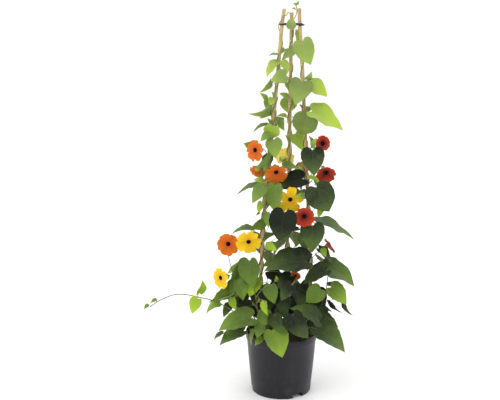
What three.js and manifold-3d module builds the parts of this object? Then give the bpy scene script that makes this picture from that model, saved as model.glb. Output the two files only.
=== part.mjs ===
// Black eyed susan vine (Thunbergia alata) in a nursery pot, climbing three bamboo canes.
// Millimetres, +Z up. The origin is the middle of the pot's flat base, and -Y is the front.
import * as THREE from "three";
import { mergeVertices } from "three/addons/utils/BufferGeometryUtils.js";
import Module from "manifold-3d";

const wasm = await Module();
wasm.setup();

// ---------------------------------------------------------------- driving dimensions
const POT_HEIGHT = 122;
const POT_SEGMENTS = 30;
const POT_WALL = 1.5;
const POT_FLOOR = 2;
const BASE_RADIUS = 58.5;
const RIM_RADIUS = 70;
const RIM_BAND = 13;
const NOTCH_WIDTH = 22;
const NOTCH_HEIGHT = 9;
const NOTCH_DEPTH = 15;
const NOTCH_FIRST_TURN = 33;
const SOIL_LEVEL = 110;
const SOIL_RADIUS = 65.9;
const CANE_RADIUS = 3.4;
const CANE_SIDES = 8;
const CANE_NODE_SPACING = 118;
const TIE_HEIGHT = 720;
const TIE_WIDTH = 3.2;
const TIE_THICKNESS = 1.3;
const TIE_CLEARANCE = 0.55;
const STEM_PITCH = 65;
const STEM_STEPS_PER_TURN = 6;
const SHOOT_STEPS = 2;
const STEM_FOOT_RADIUS = 1.2;
const STEM_TIP_RADIUS = 0.75;
const STEM_FOOT_SPREAD = { left: 1, right: 0, back: 4.5 };
const HOLE_CLEARANCE = 0.35;
const NODE_CLEARANCE = 0.35;
const BLADE_THICKNESS = 0.7;
const BLADE_RATIO = 0.9;
const PETIOLE_RADIUS = 0.5;
const ROOT_RADIUS = 0.26;
const PETAL_THICKNESS = 0.8;
const THROAT_RADIUS = 4.7;
const EYE_RADIUS = 4.25;
const TUBE_LENGTH = 19;
const TUBE_FOOT_RADIUS = 1.6;

const point = (x, y, z) => new THREE.Vector3(x, y, z);
const noise = (key) => {
  const value = Math.sin(key * 12.9898 + 4.1414) * 43758.5453;
  return value - Math.floor(value);
};

// ---------------------------------------------------------------- front view layout
// Leaves and blooms are laid out on a front view sheet, 500 across and 400 down, as a person
// standing two metres in front of the plant sees it. A third number is the depth, the y in mm.
const VIEWER = point(-62, -2000, 870);
const VIEW_TILT = (13.6 * Math.PI) / 180;
const VIEW_FOCAL = 1073;
const SHEET_MIDDLE = [250, 200];

function sightline(across, down, depth) {
  const right = (across - SHEET_MIDDLE[0]) / VIEW_FOCAL;
  const drop = (down - SHEET_MIDDLE[1]) / VIEW_FOCAL;
  const forward = Math.cos(VIEW_TILT) - drop * Math.sin(VIEW_TILT);
  const rise = -Math.sin(VIEW_TILT) - drop * Math.cos(VIEW_TILT);
  const reach = (depth - VIEWER.y) / forward;
  return point(VIEWER.x + right * reach, depth, VIEWER.z + rise * reach);
}

// ---------------------------------------------------------------- solids
function volumeOf(points, faces) {
  let sum = 0;
  for (const [a, b, c] of faces) {
    sum += points[a].dot(points[b].clone().cross(points[c]));
  }
  return sum / 6;
}

function solid(points, faces) {
  const turned = volumeOf(points, faces) < 0;
  const order = faces.map(([a, b, c]) => (turned ? [a, c, b] : [a, b, c]));
  const vertProperties = new Float32Array(points.flatMap((p) => [p.x, p.y, p.z]));
  const triVerts = new Uint32Array(order.flat());
  return new wasm.Manifold(new wasm.Mesh({ numProp: 3, vertProperties, triVerts }));
}

function solidOf(geometry) {
  const bare = geometry.clone();
  bare.deleteAttribute("normal");
  bare.deleteAttribute("uv");
  const merged = mergeVertices(bare, 1e-4);
  const position = merged.getAttribute("position");
  const points = [];
  for (let i = 0; i < position.count; i += 1) {
    points.push(new THREE.Vector3().fromBufferAttribute(position, i));
  }
  const index = Array.from(merged.getIndex().array);
  const faces = [];
  for (let i = 0; i < index.length; i += 3) {
    const [a, b, c] = [index[i], index[i + 1], index[i + 2]];
    if (a !== b && b !== c && c !== a) faces.push([a, b, c]);
  }
  return solid(points, faces);
}

// A stalk or cane: a ring of corners round each point of a path, closed at both ends.
function limb(path, radii, sides) {
  const points = [];
  const faces = [];
  let side = null;
  path.forEach((centre, i) => {
    const before = path[Math.max(i - 1, 0)];
    const after = path[Math.min(i + 1, path.length - 1)];
    const along = after.clone().sub(before).normalize();
    if (side === null) {
      const start = Math.abs(along.z) > 0.9 ? point(1, 0, 0) : point(0, 0, 1);
      side = start.cross(along).normalize();
    }
    side.sub(along.clone().multiplyScalar(side.dot(along))).normalize();
    const other = along.clone().cross(side);
    for (let k = 0; k < sides; k += 1) {
      const turn = (2 * Math.PI * k) / sides;
      points.push(
        centre.clone()
          .addScaledVector(side, Math.cos(turn) * radii[i])
          .addScaledVector(other, Math.sin(turn) * radii[i]),
      );
    }
  });
  for (let i = 0; i + 1 < path.length; i += 1) {
    for (let k = 0; k < sides; k += 1) {
      const a = i * sides + k;
      const b = i * sides + ((k + 1) % sides);
      faces.push([a, b, b + sides], [a, b + sides, a + sides]);
    }
  }
  const last = (path.length - 1) * sides;
  for (let k = 1; k + 1 < sides; k += 1) {
    faces.push([0, k + 1, k], [last, last + k, last + k + 1]);
  }
  return solid(points, faces);
}

const boxesTouch = (a, b, gap) => [0, 1, 2].every(
  (i) => a.min[i] - gap <= b.max[i] && b.min[i] - gap <= a.max[i],
);
const crosses = (a, b) => boxesTouch(a.boundingBox(), b.boundingBox(), 0)
  && a.intersect(b).volume() > 1e-5;

// ---------------------------------------------------------------- pot and soil
function lathe(profile, segments) {
  const geometry = new THREE.LatheGeometry(profile.map(([r, z]) => new THREE.Vector2(r, z)), segments);
  geometry.rotateX(Math.PI / 2);
  return geometry;
}

// A drain notch is a box-shaped recess in the pot's lower edge. A margin gives the recess with its walls.
function notchBox(number, margin) {
  const below = 5;
  const height = NOTCH_HEIGHT + margin + below;
  const box = new THREE.BoxGeometry(NOTCH_WIDTH + 2 * margin, 2 * (NOTCH_DEPTH + margin), height);
  box.translate(0, -BASE_RADIUS, height / 2 - below);
  box.rotateZ(((NOTCH_FIRST_TURN + 120 * number) * Math.PI) / 180);
  return solidOf(box);
}

// The hole in a notch's back wall, where the water leaves.
function drainHole(number) {
  const hole = new THREE.BoxGeometry(NOTCH_WIDTH / 2, 4 * POT_WALL, NOTCH_HEIGHT / 2);
  hole.translate(0, NOTCH_DEPTH - BASE_RADIUS, NOTCH_HEIGHT / 2 + 1);
  hole.rotateZ(((NOTCH_FIRST_TURN + 120 * number) * Math.PI) / 180);
  return solidOf(hole);
}

function makePot() {
  const band = POT_HEIGHT - RIM_BAND;
  const outside = [
    [0, 0], [BASE_RADIUS - 1.2, 0], [BASE_RADIUS, 1.4], [62, 37], [66, 80], [68.2, band - 0.6],
    [RIM_RADIUS, band], [RIM_RADIUS, POT_HEIGHT - 0.8], [RIM_RADIUS - 0.8, POT_HEIGHT],
  ];
  const inside = [
    [RIM_RADIUS - 2, POT_HEIGHT], [68.2 - POT_WALL, band - 2], [62 - POT_WALL, 37],
    [BASE_RADIUS - POT_WALL, POT_FLOOR], [0, POT_FLOOR],
  ];
  const filled = solidOf(lathe([...outside, [0, POT_HEIGHT]], POT_SEGMENTS));
  let pot = solidOf(lathe([...outside, ...inside], POT_SEGMENTS));
  for (let i = 0; i < 3; i += 1) {
    pot = pot.add(notchBox(i, POT_WALL).intersect(filled));
    pot = pot.subtract(notchBox(i, 0)).subtract(drainHole(i));
  }
  return pot;
}

function makeSoil(holes) {
  const profile = [
    [0, POT_FLOOR + 0.3], [BASE_RADIUS - POT_WALL - 0.6, POT_FLOOR + 0.3], [59.9, 37], [SOIL_RADIUS, 104],
    [SOIL_RADIUS, SOIL_LEVEL - 2], [48, SOIL_LEVEL], [24, SOIL_LEVEL], [0, SOIL_LEVEL],
  ];
  const geometry = lathe(profile, POT_SEGMENTS / 2);
  const position = geometry.getAttribute("position");
  for (let i = 0; i < position.count; i += 1) {
    const [x, y, z] = [position.getX(i), position.getY(i), position.getZ(i)];
    if (z > SOIL_LEVEL - 1 && Math.hypot(x, y) > 1) {
      const bump = noise(Math.round(x * 3) + Math.round(y * 3) * 1.7) * 3 - 1.5;
      position.setZ(i, z + bump);
    }
  }
  const notches = [0, 1, 2].map((i) => notchBox(i, POT_WALL + HOLE_CLEARANCE));
  return [...holes, ...notches].reduce((body, hole) => body.subtract(hole), solidOf(geometry));
}

// ---------------------------------------------------------------- canes
const CANES = {
  left: [[-47, -28, 50], [-46, -27, 110], [-43, -25, 200], [-38.4, -20, 313], [-31, -16, 424],
    [-20.5, -12, 520], [-10.7, -9, 627], [-3.3, -6, 720], [1, -4, 748]],
  right: [[56, -8, 50], [57.5, -8, 110], [57, -8, 180], [55, -8, 250], [49, -7, 380],
    [42, -6.5, 517], [35.5, -6, 636], [30, -5, 715], [28.3, -4.5, 749]],
  back: [[11, 51, 50], [11, 49, 110], [12, 38, 300], [13.5, 28, 458], [14, 18, 600],
    [15, 9, 720], [15.1, 8, 741]],
};

function caneAt(cane, z) {
  const rows = CANES[cane];
  let i = 0;
  while (i + 2 < rows.length && rows[i + 1][2] < z) i += 1;
  const share = (z - rows[i][2]) / (rows[i + 1][2] - rows[i][2]);
  return point(...[0, 1].map((k) => rows[i][k] + (rows[i + 1][k] - rows[i][k]) * share), z);
}

function makeCane(cane, offset) {
  const rows = CANES[cane];
  const top = rows[rows.length - 1][2];
  const path = rows.map((row) => point(...row));
  const radii = rows.map(() => CANE_RADIUS);
  for (let z = rows[1][2] + offset; z < top - 20; z += CANE_NODE_SPACING) {
    path.push(caneAt(cane, z - 1.6), caneAt(cane, z), caneAt(cane, z + 1.6));
    radii.push(CANE_RADIUS, CANE_RADIUS + 0.55, CANE_RADIUS);
  }
  const order = path.map((_, i) => i).sort((a, b) => path[a].z - path[b].z);
  return limb(order.map((i) => path[i]), order.map((i) => radii[i]), CANE_SIDES);
}

// The tie loops round all three canes: an outer and an inner hull of three circles, a head and a tail.
function hullOfCanes(radius) {
  const centres = ["left", "right", "back"].map((cane) => caneAt(cane, TIE_HEIGHT));
  const outline = [];
  centres.forEach((centre, i) => {
    const before = centres[(i + 2) % 3];
    const after = centres[(i + 1) % 3];
    const first = Math.atan2(centre.y - before.y, centre.x - before.x) - Math.PI / 2;
    let last = Math.atan2(after.y - centre.y, after.x - centre.x) - Math.PI / 2;
    while (last < first) last += 2 * Math.PI;
    for (let k = 0; k <= 4; k += 1) {
      const turn = first + ((last - first) * k) / 4;
      outline.push(new THREE.Vector2(
        centre.x + radius * Math.cos(turn), centre.y + radius * Math.sin(turn)));
    }
  });
  return outline;
}

function makeTie() {
  const inner = CANE_RADIUS + TIE_CLEARANCE;
  const shape = new THREE.Shape(hullOfCanes(inner + TIE_THICKNESS));
  shape.holes.push(new THREE.Path(hullOfCanes(inner)));
  const band = new THREE.ExtrudeGeometry(shape, { depth: TIE_WIDTH, bevelEnabled: false });
  band.translate(0, 0, TIE_HEIGHT - TIE_WIDTH / 2);
  const cane = caneAt("right", TIE_HEIGHT);
  const head = new THREE.BoxGeometry(5.2, 3.4, 5);
  head.translate(cane.x + 1.5, cane.y - inner - 2.4, TIE_HEIGHT);
  const tail = new THREE.BoxGeometry(7, 1.2, TIE_WIDTH);
  tail.rotateY((7 * Math.PI) / 180);
  tail.translate(cane.x + 4.6, cane.y - inner - 2.2, TIE_HEIGHT - 0.3);
  return solidOf(band).add(solidOf(head)).add(solidOf(tail));
}

// ---------------------------------------------------------------- leaf blades
// Half outlines as [share of the width across, share of the length along], base to tip, with the
// triangles of one half: b is the base, t the tip, and m0 and m1 lie on the midrib.
const BLADES = {
  big: {
    half: [[0.15, -0.14], [0.36, -0.12], [0.48, 0.05], [0.5, 0.25], [0.42, 0.5], [0.23, 0.76]],
    middles: [0.34, 0.68],
    fans: [["b", 0, 1], ["b", 1, "m0"], [1, 2, "m0"], [2, 3, "m0"], [3, 4, "m0"], ["m0", 4, "m1"],
      [4, 5, "m1"], [5, "t", "m1"]],
  },
  small: {
    half: [[0.26, -0.13], [0.5, 0.18], [0.34, 0.6]],
    middles: [0.42],
    fans: [["b", 0, "m0"], [0, 1, "m0"], [1, 2, "m0"], [2, "t", "m0"]],
  },
  tiny: {
    half: [[0.34, -0.06], [0.46, 0.34]],
    middles: [],
    fans: [["b", 0, 1], ["b", 1, "t"]],
  },
  bud: { half: [[0.44, 0.2]], middles: [], fans: [["b", 0, "t"]] },
  bract: { half: [[0.4, 0.3], [0.46, 0.62]], middles: [], fans: [["b", 0, 1], ["b", 1, "t"]] },
};
const BIG_LEAF = 38;
const SMALL_LEAF = 19;
const BUD_LEAF = 12;
const BASE_EDGE = 0.45;

// Height of the blade's middle surface over the straight line from base to tip, as a share of length.
function bladeHeight(leaf, across, along) {
  const side = Math.abs(across);
  const arch = leaf.arch * 4 * along * (1 - along) * (along > 0 ? 1 : 0.35);
  const wave = leaf.wave * side * Math.sin(9 * along + leaf.phase + (across > 0 ? 1.3 : 0));
  return arch + leaf.fold * side + wave;
}

function bladePoint(leaf, across, along, lift) {
  const height = bladeHeight(leaf, across, along) * leaf.length + lift;
  return leaf.base.clone()
    .addScaledVector(leaf.along, along * leaf.length)
    .addScaledVector(leaf.across, across * leaf.length * leaf.ratio)
    .addScaledVector(leaf.face, height);
}

// The blade alone, or with its stalk, whose last ring is the short edge at the blade's base.
function bladeSolid(leaf, thickness, stalk) {
  const { half, middles, fans } = BLADES[leaf.kind];
  const edge = BASE_EDGE / (leaf.length * leaf.ratio);
  const right = [[edge, 0], ...half];
  const flat = [...right, [0, 1], ...right.map(([u, v]) => [-u, v]).reverse()];
  const rim = flat.length;
  middles.forEach((along) => flat.push([0, along]));
  const count = flat.length;
  const points = [1, -1].flatMap(
    (face) => flat.map(([u, v]) => bladePoint(leaf, u, v, (face * thickness) / 2)));
  const place = (key, mirrored) => {
    if (key === "t") return half.length + 1;
    if (typeof key === "string" && key !== "b") return rim + Number(key[1]);
    const step = key === "b" ? 0 : key + 1;
    return mirrored ? rim - 1 - step : step;
  };
  const faces = [];
  const bothFaces = (a, b, c) => faces.push([a, b, c], [a + count, c + count, b + count]);
  for (const [a, b, c] of fans) {
    bothFaces(place(a, false), place(b, false), place(c, false));
    bothFaces(place(a, true), place(c, true), place(b, true));
  }
  bothFaces(0, middles.length ? rim : half.length + 1, rim - 1);
  for (let i = 0; i + 1 < rim; i += 1) {
    faces.push([i, i + count, i + 1 + count], [i, i + 1 + count, i + 1]);
  }
  let ring = [0, rim - 1, rim - 1 + count, count];
  if (stalk) {
    let side = leaf.across.clone();
    stalk.path.forEach((centre, i) => {
      const next = stalk.path[Math.min(i + 1, stalk.path.length - 1)];
      const last = i === 0 ? leaf.base : stalk.path[i - 1];
      const along = last.clone().sub(next).normalize();
      side = side.addScaledVector(along, -side.dot(along)).normalize();
      const lift = side.clone().cross(along);
      const r = stalk.radii[i];
      const fresh = [[1, 1], [-1, 1], [-1, -1], [1, -1]].map(([u, v]) => {
        points.push(centre.clone().addScaledVector(side, u * r).addScaledVector(lift, v * r));
        return points.length - 1;
      });
      for (let k = 0; k < 4; k += 1) {
        const after = (k + 1) % 4;
        faces.push([ring[k], fresh[after], fresh[k]], [ring[k], ring[after], fresh[after]]);
      }
      ring = fresh;
    });
  }
  faces.push([ring[0], ring[1], ring[2]], [ring[0], ring[2], ring[3]]);
  return solid(points, faces);
}

// A leaf from its base and tip, its width, which way it faces and the side it rolls or leans to.
function leafFrom(base, tip, width, face, side, key) {
  let along = tip.clone().sub(base);
  let length = along.length();
  const depthLine = base.clone().sub(VIEWER).normalize();
  let roll = 0;
  if (width > BLADE_RATIO * length) {
    const lean = Math.sqrt((width / BLADE_RATIO) ** 2 - length ** 2);
    along.addScaledVector(depthLine, side * Math.min(lean, length * 1.5));
    length = along.length();
  } else {
    roll = side * Math.min(Math.acos(width / (BLADE_RATIO * length)), 1.36);
  }
  along = along.normalize();
  const facing = face.clone().addScaledVector(along, -face.dot(along)).normalize();
  facing.applyAxisAngle(along, roll);
  const sizes = [["big", BIG_LEAF], ["small", SMALL_LEAF], ["tiny", BUD_LEAF], ["bud", 0]];
  const [kind] = sizes.find(([, least]) => length > least);
  return {
    kind, base, along, face: facing, across: along.clone().cross(facing), length, ratio: BLADE_RATIO,
    arch: 0.05 + 0.06 * noise(key), fold: 0.12 + 0.16 * noise(key + 0.5),
    wave: 0.1 * noise(key + 0.25), phase: 6.3 * noise(key + 0.75),
  };
}

// ---------------------------------------------------------------- vines
// A climbing stem winds up its cane to the right. turn is its bearing at the tie, in degrees.
const CLIMBERS = {
  vine_left_1: {
    cane: "left", turn: 200, top: 741, tip: [[286.4, 15.5, -7], [288, 12.4, -8], [290.5, 14.3, -8]],
  },
  vine_left_2: { cane: "left", turn: 20, top: 590, tip: [] },
  vine_right_1: { cane: "right", turn: -20, top: 690, tip: [] },
  vine_right_2: { cane: "right", turn: 160, top: 505, tip: [] },
  vine_back_1: {
    cane: "back", turn: 90, top: 724, tip: [[294, 19, 14], [296.4, 14, 8], [297.3, 10.5, 6], [296, 5, 6]],
  },
  vine_back_2: { cane: "back", turn: 270, top: 540, tip: [] },
};
// A free shoot's path from the soil up, in mm.
const SHOOTS = {
  shoot_left: [
    [-32, -4, 99], [-40, -8, 122], [-61, -20, 170], [-80, -24, 213], [-98, -24, 258], [-104, -20, 285],
  ],
  shoot_front_left: [[-22, -46, 99], [-30, -56, 130], [-44, -64, 172], [-52, -62, 215], [-56, -58, 240]],
  shoot_front: [[6, -46, 99], [8, -58, 130], [11, -64, 175], [15, -56, 215], [20, -46, 250]],
  shoot_front_right: [[36, -40, 99], [42, -54, 135], [48, -60, 180], [54, -50, 225], [60, -42, 262]],
  shoot_right: [[50, 16, 99], [62, 4, 130], [76, -10, 172], [86, -18, 215], [90, -20, 262]],
  shoot_back: [[-14, 42, 99], [-22, 58, 140], [-28, 66, 190], [-24, 66, 240]],
  runner_left: [
    [-38, -42, 99], [-41, -46, 121], [-53, -58, 135], [-84, -60, 174], [-118, -56, 196], [-133, -54, 202],
    [-156, -52, 207], [-182, -50, 212], [-199, -50, 213], [-214, -50, 210], [-236, -50, 200],
    [-254, -50, 187],
  ],
};

// A rounded way through a row of points, with each stretch split into equal steps.
function rounded(points, steps) {
  const path = [points[0]];
  for (let i = 0; i + 1 < points.length; i += 1) {
    const [b, c] = [points[i], points[i + 1]];
    const a = points[i - 1] ?? b;
    const d = points[i + 2] ?? c;
    for (let k = 1; k <= steps; k += 1) {
      const t = k / steps;
      const weights = [-t + 2 * t * t - t ** 3, 2 - 5 * t * t + 3 * t ** 3, t + 4 * t * t - 3 * t ** 3,
        t ** 3 - t * t];
      const place = point(0, 0, 0);
      [a, b, c, d].forEach((corner, j) => place.addScaledVector(corner, weights[j] / 2));
      path.push(place);
    }
  }
  return path;
}

function stemPath(vine) {
  if (SHOOTS[vine]) {
    return rounded(SHOOTS[vine].map((row) => point(...row)), vine === "runner_left" ? 1 : SHOOT_STEPS);
  }
  const { cane, turn, top, tip } = CLIMBERS[vine];
  const path = [];
  const step = STEM_PITCH / STEM_STEPS_PER_TURN;
  for (let z = 99; z < top; z += step) {
    const bearing = ((turn + (360 * (z - TIE_HEIGHT)) / STEM_PITCH) * Math.PI) / 180;
    const foot = STEM_FOOT_SPREAD[cane] * Math.max(0, 1 - (z - 99) / 55);
    const pass = 2.4 * Math.max(0, 1 - Math.abs(z - TIE_HEIGHT) / 16);
    const radius = CANE_RADIUS + 2.9 + foot + pass - (0.5 * (z - 99)) / 640;
    const centre = caneAt(cane, z);
    path.push(centre.add(point(Math.cos(bearing) * radius, Math.sin(bearing) * radius, 0)));
  }
  return [...path, ...tip.map((row) => sightline(...row))];
}

const stemRadii = (path, foot, tip) => path.map((_, i) => foot + ((tip - foot) * i) / (path.length - 1));

// Leaf rows: base across, base down, tip across, tip down, width, depth, side.
const LEAVES = {
  vine_back_1: [
    [296, 4.5, 292.6, 3.6, 3, 6, 1], [296, 4.5, 299, 0.4, 3.4, 6, 1], [295.6, 9, 291.6, 8.6, 2.6, 6, 1],
    [291, 28, 291.6, 17, 11, 2, 1], [297, 50, 281.5, 60.8, 9, -2, 1], [288, 98.5, 279, 93.5, 6, -4, 1],
    [289, 99, 287.5, 112.7, 17, 44, 1], [289, 141, 285, 135, 4, 30, 1], [299, 229, 291.5, 232, 5, 20, 1],
  ],
  vine_back_2: [
    [286.5, 117, 277, 115.7, 4.5, 6, 1], [295, 134.5, 303.5, 151, 15, 12, -1],
    [283, 166, 298, 169, 8, 2, -1],
  ],
  vine_left_1: [
    [278, 54.5, 268.5, 56, 2.5, -14, 1], [276.8, 62.5, 267, 77, 9, -18, 1],
    [282.5, 61.5, 287, 74.5, 8.5, -22, -1], [286, 75.5, 270.5, 81, 14.5, -28, 1],
    [285.5, 83, 289, 92.5, 4.5, -20, -1], [270.5, 80.5, 259.4, 92.3, 5.5, -20, -1],
    [266.5, 100.5, 259.8, 93, 5.5, -18, 1], [272.5, 98, 269.5, 106.5, 8, -24, 1],
    [269, 106, 248, 113.6, 5, -20, -1], [274, 96, 271.5, 91.5, 4, -16, 1],
    [270.5, 124.5, 267, 118.3, 4, -18, 1], [273.5, 126, 269, 138, 17, -28, 1],
    [269, 134.5, 260.5, 141.5, 8, -22, 1], [251, 146, 243.3, 143.3, 8, -18, -1],
    [270, 156, 264, 172, 11, -30, 1], [263.5, 182, 253.3, 180, 7, -24, 1],
    [276.5, 186.5, 278, 214.5, 17, -42, 1], [262, 202.5, 259, 214, 7, -32, 1],
    [264, 221.5, 250, 228.5, 11, -30, -1], [287.5, 240, 272.3, 261, 5.5, -44, 1],
  ],
  vine_left_2: [
    [269.5, 108, 259.3, 118.3, 7.5, -24, 1], [281, 120.5, 284.5, 131, 7, -22, 1],
    [267, 125, 253, 132.9, 3.5, -20, 1], [273.5, 140, 275.5, 158.5, 18, -40, -1],
    [268, 154, 252.7, 168.5, 5.5, -30, 1], [260, 185, 236.5, 195, 4, -24, 1],
    [264, 187, 252.3, 203.5, 14, -32, 1], [284.5, 212.5, 278.7, 241, 27.5, -46, 1],
    [268, 213, 269, 228, 7, -34, 1], [253, 230.5, 231.8, 234, 5.5, -16, 1],
    [260, 213, 255.8, 216, 3, -30, 1], [266, 245.5, 277, 251, 9, -36, -1],
  ],
  vine_right_1: [
    [302.5, 42, 310.9, 65, 21, -24, 1], [296.5, 30.5, 295.5, 45, 6.5, -14, -1],
    [306.5, 79.5, 311.8, 71.3, 6.5, -14, 1], [302, 82.5, 295.1, 105, 25, -26, -1],
    [310.5, 84.5, 327, 97, 15, -18, -1], [307.5, 115.5, 300.5, 134.5, 25, -26, 1],
    [312.5, 112, 342.8, 130.6, 18, -18, -1], [312.3, 150.5, 314.1, 176, 25, -38, -1],
    [305, 166, 295.5, 168, 4, -24, 1], [309, 178, 320.5, 184.5, 4.5, -42, -1],
    [304.5, 197, 294.5, 198.5, 6.5, -52, 1], [302.5, 179, 275, 189.5, 19, -26, 1],
  ],
  vine_right_2: [
    [311, 147, 308.5, 135.5, 4.5, -14, 1], [313, 147.5, 317, 138, 6, -20, -1],
    [316.2, 187.5, 329.2, 211.8, 28, -38, 1], [323, 208.5, 318.5, 218, 7, -32, 1],
    [312.5, 226, 312, 252.5, 27, -40, -1], [318, 223.5, 354.4, 240, 9, -24, -1],
    [319, 249, 332, 263.5, 9, -26, -1], [323.5, 248.5, 326, 257, 7, -34, 1],
  ],
  shoot_left: [
    [241.5, 268.5, 229, 293.5, 20, -36, 1], [229.7, 282.5, 208.4, 302.5, 10, -42, -1],
    [230, 293.5, 206, 314.3, 10, -36, 1], [231, 305, 223.5, 317.5, 9.5, -28, 1],
    [233, 298, 237, 310.5, 8, -34, 1], [257.5, 278, 249.5, 297, 17, -46, 1],
    [243, 266, 227, 274, 9, -20, 1], [243, 300, 228, 304, 12, -8, -1],
    [238, 281, 243, 300.5, 15, -32, -1], [241, 290, 228, 301, 12, -20, 1],
  ],
  shoot_front_left: [
    [249.8, 261, 253.5, 288, 22, -60, 1], [271, 285, 274.8, 304, 16, -66, 1],
    [251, 318, 218.5, 330.8, 21, -66, 1], [243.5, 331.5, 219.5, 345.5, 15, -70, 1],
    [264, 311, 254.2, 329, 14, -74, 1], [265, 302, 268, 315.5, 7, -72, 1],
    [262, 325, 257, 338, 12, -80, 1], [254, 331, 251.5, 345, 4.5, -80, 1],
    [262, 338, 255, 345.5, 8, -82, 1], [248, 300, 240, 316, 15, -52, 1],
    [255, 306, 262, 322, 15, -60, -1], [223, 333, 214, 340.3, 4.5, -62, 1],
    [262, 291, 270, 312, 16, -50, -1], [270, 318, 262, 334, 13, -66, 1], [285, 261, 262, 267, 12, -50, 1],
  ],
  shoot_front: [
    [306, 262, 264.3, 271, 26, -60, 1], [276, 281, 276, 275.5, 5, -62, 1],
    [285, 296, 286, 318.5, 15, -76, 1], [275, 315, 281, 333.5, 15, -78, 1],
    [272.5, 331, 282.3, 357.6, 25, -86, 1], [296, 292, 303, 312, 14, -64, -1],
    [291, 276, 277, 289, 15, -50, 1], [269, 272, 284, 285, 14, -44, -1], [292, 285, 281, 301, 15, -56, 1],
    [287, 303, 273, 318, 16, -60, 1], [298, 313, 286, 329, 17, -68, 1],
  ],
  shoot_front_right: [
    [310, 254, 302, 268, 10, -56, 1], [307.3, 259, 307.8, 271, 6, -62, 1],
    [320, 289.5, 306, 302.5, 19, -66, 1], [318, 320, 290, 308.5, 17, -70, 1],
    [293, 315, 308.5, 338.5, 22, -80, 1], [326.5, 270.5, 303, 284.5, 16, -54, 1],
    [316, 329, 345, 352.6, 22, -76, -1], [320, 310, 338.5, 327.5, 16, -66, -1],
    [311, 302, 301, 320, 16, -58, 1], [305, 318, 321, 333, 16, -72, -1],
  ],
  shoot_right: [
    [325.5, 268, 354.5, 286.5, 19, -44, -1], [328, 285, 343.5, 289, 5, -30, -1],
    [331, 288, 346.6, 304.3, 18, -40, -1], [330, 301, 342, 313, 4, -30, 1],
    [344, 303, 354, 316, 4, -28, 1], [321, 309, 332, 312, 4.5, -34, -1],
  ],
  shoot_back: [
    [262, 286, 258, 310, 20, 30, 1], [281, 284, 285, 312, 22, 36, 1], [300, 284, 296, 312, 22, 36, -1],
    [270, 300, 274, 324, 20, 24, 1], [292, 300, 290, 324, 20, 20, -1], [243, 292, 240, 312, 18, 20, 1],
    [318, 290, 322, 314, 20, 20, 1],
  ],
  runner_left: [
    [199.1, 293, 202.6, 280.1, 9, -54, 1], [198, 299, 192, 314, 13, -54, 1],
    [156.6, 299.6, 150.2, 303.4, 4, -50, 1], [148.6, 304.8, 143.6, 309.6, 4, -50, 1],
    [220, 303, 211, 308, 8, -60, 1],
  ],
};

// Leaves the front view doesn't show: opposite pairs up the back of each climber and round shoot_back.
const PAIR_SPACING = 124;
const BACK_PAIRS = {
  vine_left_1: { from: 200, to: 650, bearing: 155 }, vine_left_2: { from: 176, to: 560, bearing: 120 },
  vine_right_1: { from: 190, to: 640, bearing: 40 }, vine_right_2: { from: 170, to: 480, bearing: 75 },
  vine_back_1: { from: 180, to: 690, bearing: 90 }, vine_back_2: { from: 160, to: 520, bearing: 110 },
  shoot_back: { from: 130, to: 245, bearing: 90 },
};

function pairLeaf(vine, path, height, hand, key) {
  const { bearing } = BACK_PAIRS[vine];
  const start = nearestOn(path, point(0, 60, height).add(caneAt("back", height).setZ(0)));
  const share = Math.min(1, Math.max(0, (height - 150) / 560));
  const length = 44 - 24 * share + 8 * noise(key + 0.1);
  const turn = ((bearing + hand * (34 + 22 * noise(key + 0.2))) * Math.PI) / 180;
  const out = point(Math.cos(turn), Math.sin(turn), 0);
  const reach = 20 - 8 * share + 6 * noise(key + 0.3);
  const base = start.clone().addScaledVector(out, reach).add(point(0, 0, 5 + 8 * noise(key + 0.4)));
  const droop = 0.7 + 0.9 * noise(key + 0.6);
  const tip = base.clone().add(out.clone().add(point(0, 0, -droop)).setLength(length));
  return leafFrom(base, tip, BLADE_RATIO * length * 0.97, out.clone().add(point(0, 0, 0.6)), 1, key);
}

function nearestOn(path, target) {
  let best = null;
  for (let i = 0; i + 1 < path.length; i += 1) {
    for (const share of [0.3, 0.7]) {
      const place = path[i].clone().lerp(path[i + 1], share);
      const lift = place.z > target.z ? 1.5 * (place.z - target.z) : 0;
      const cost = place.distanceTo(target) + lift;
      if (place.z > 113 && (best === null || cost < best.cost)) best = { place, cost };
    }
  }
  return best.place;
}

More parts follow.
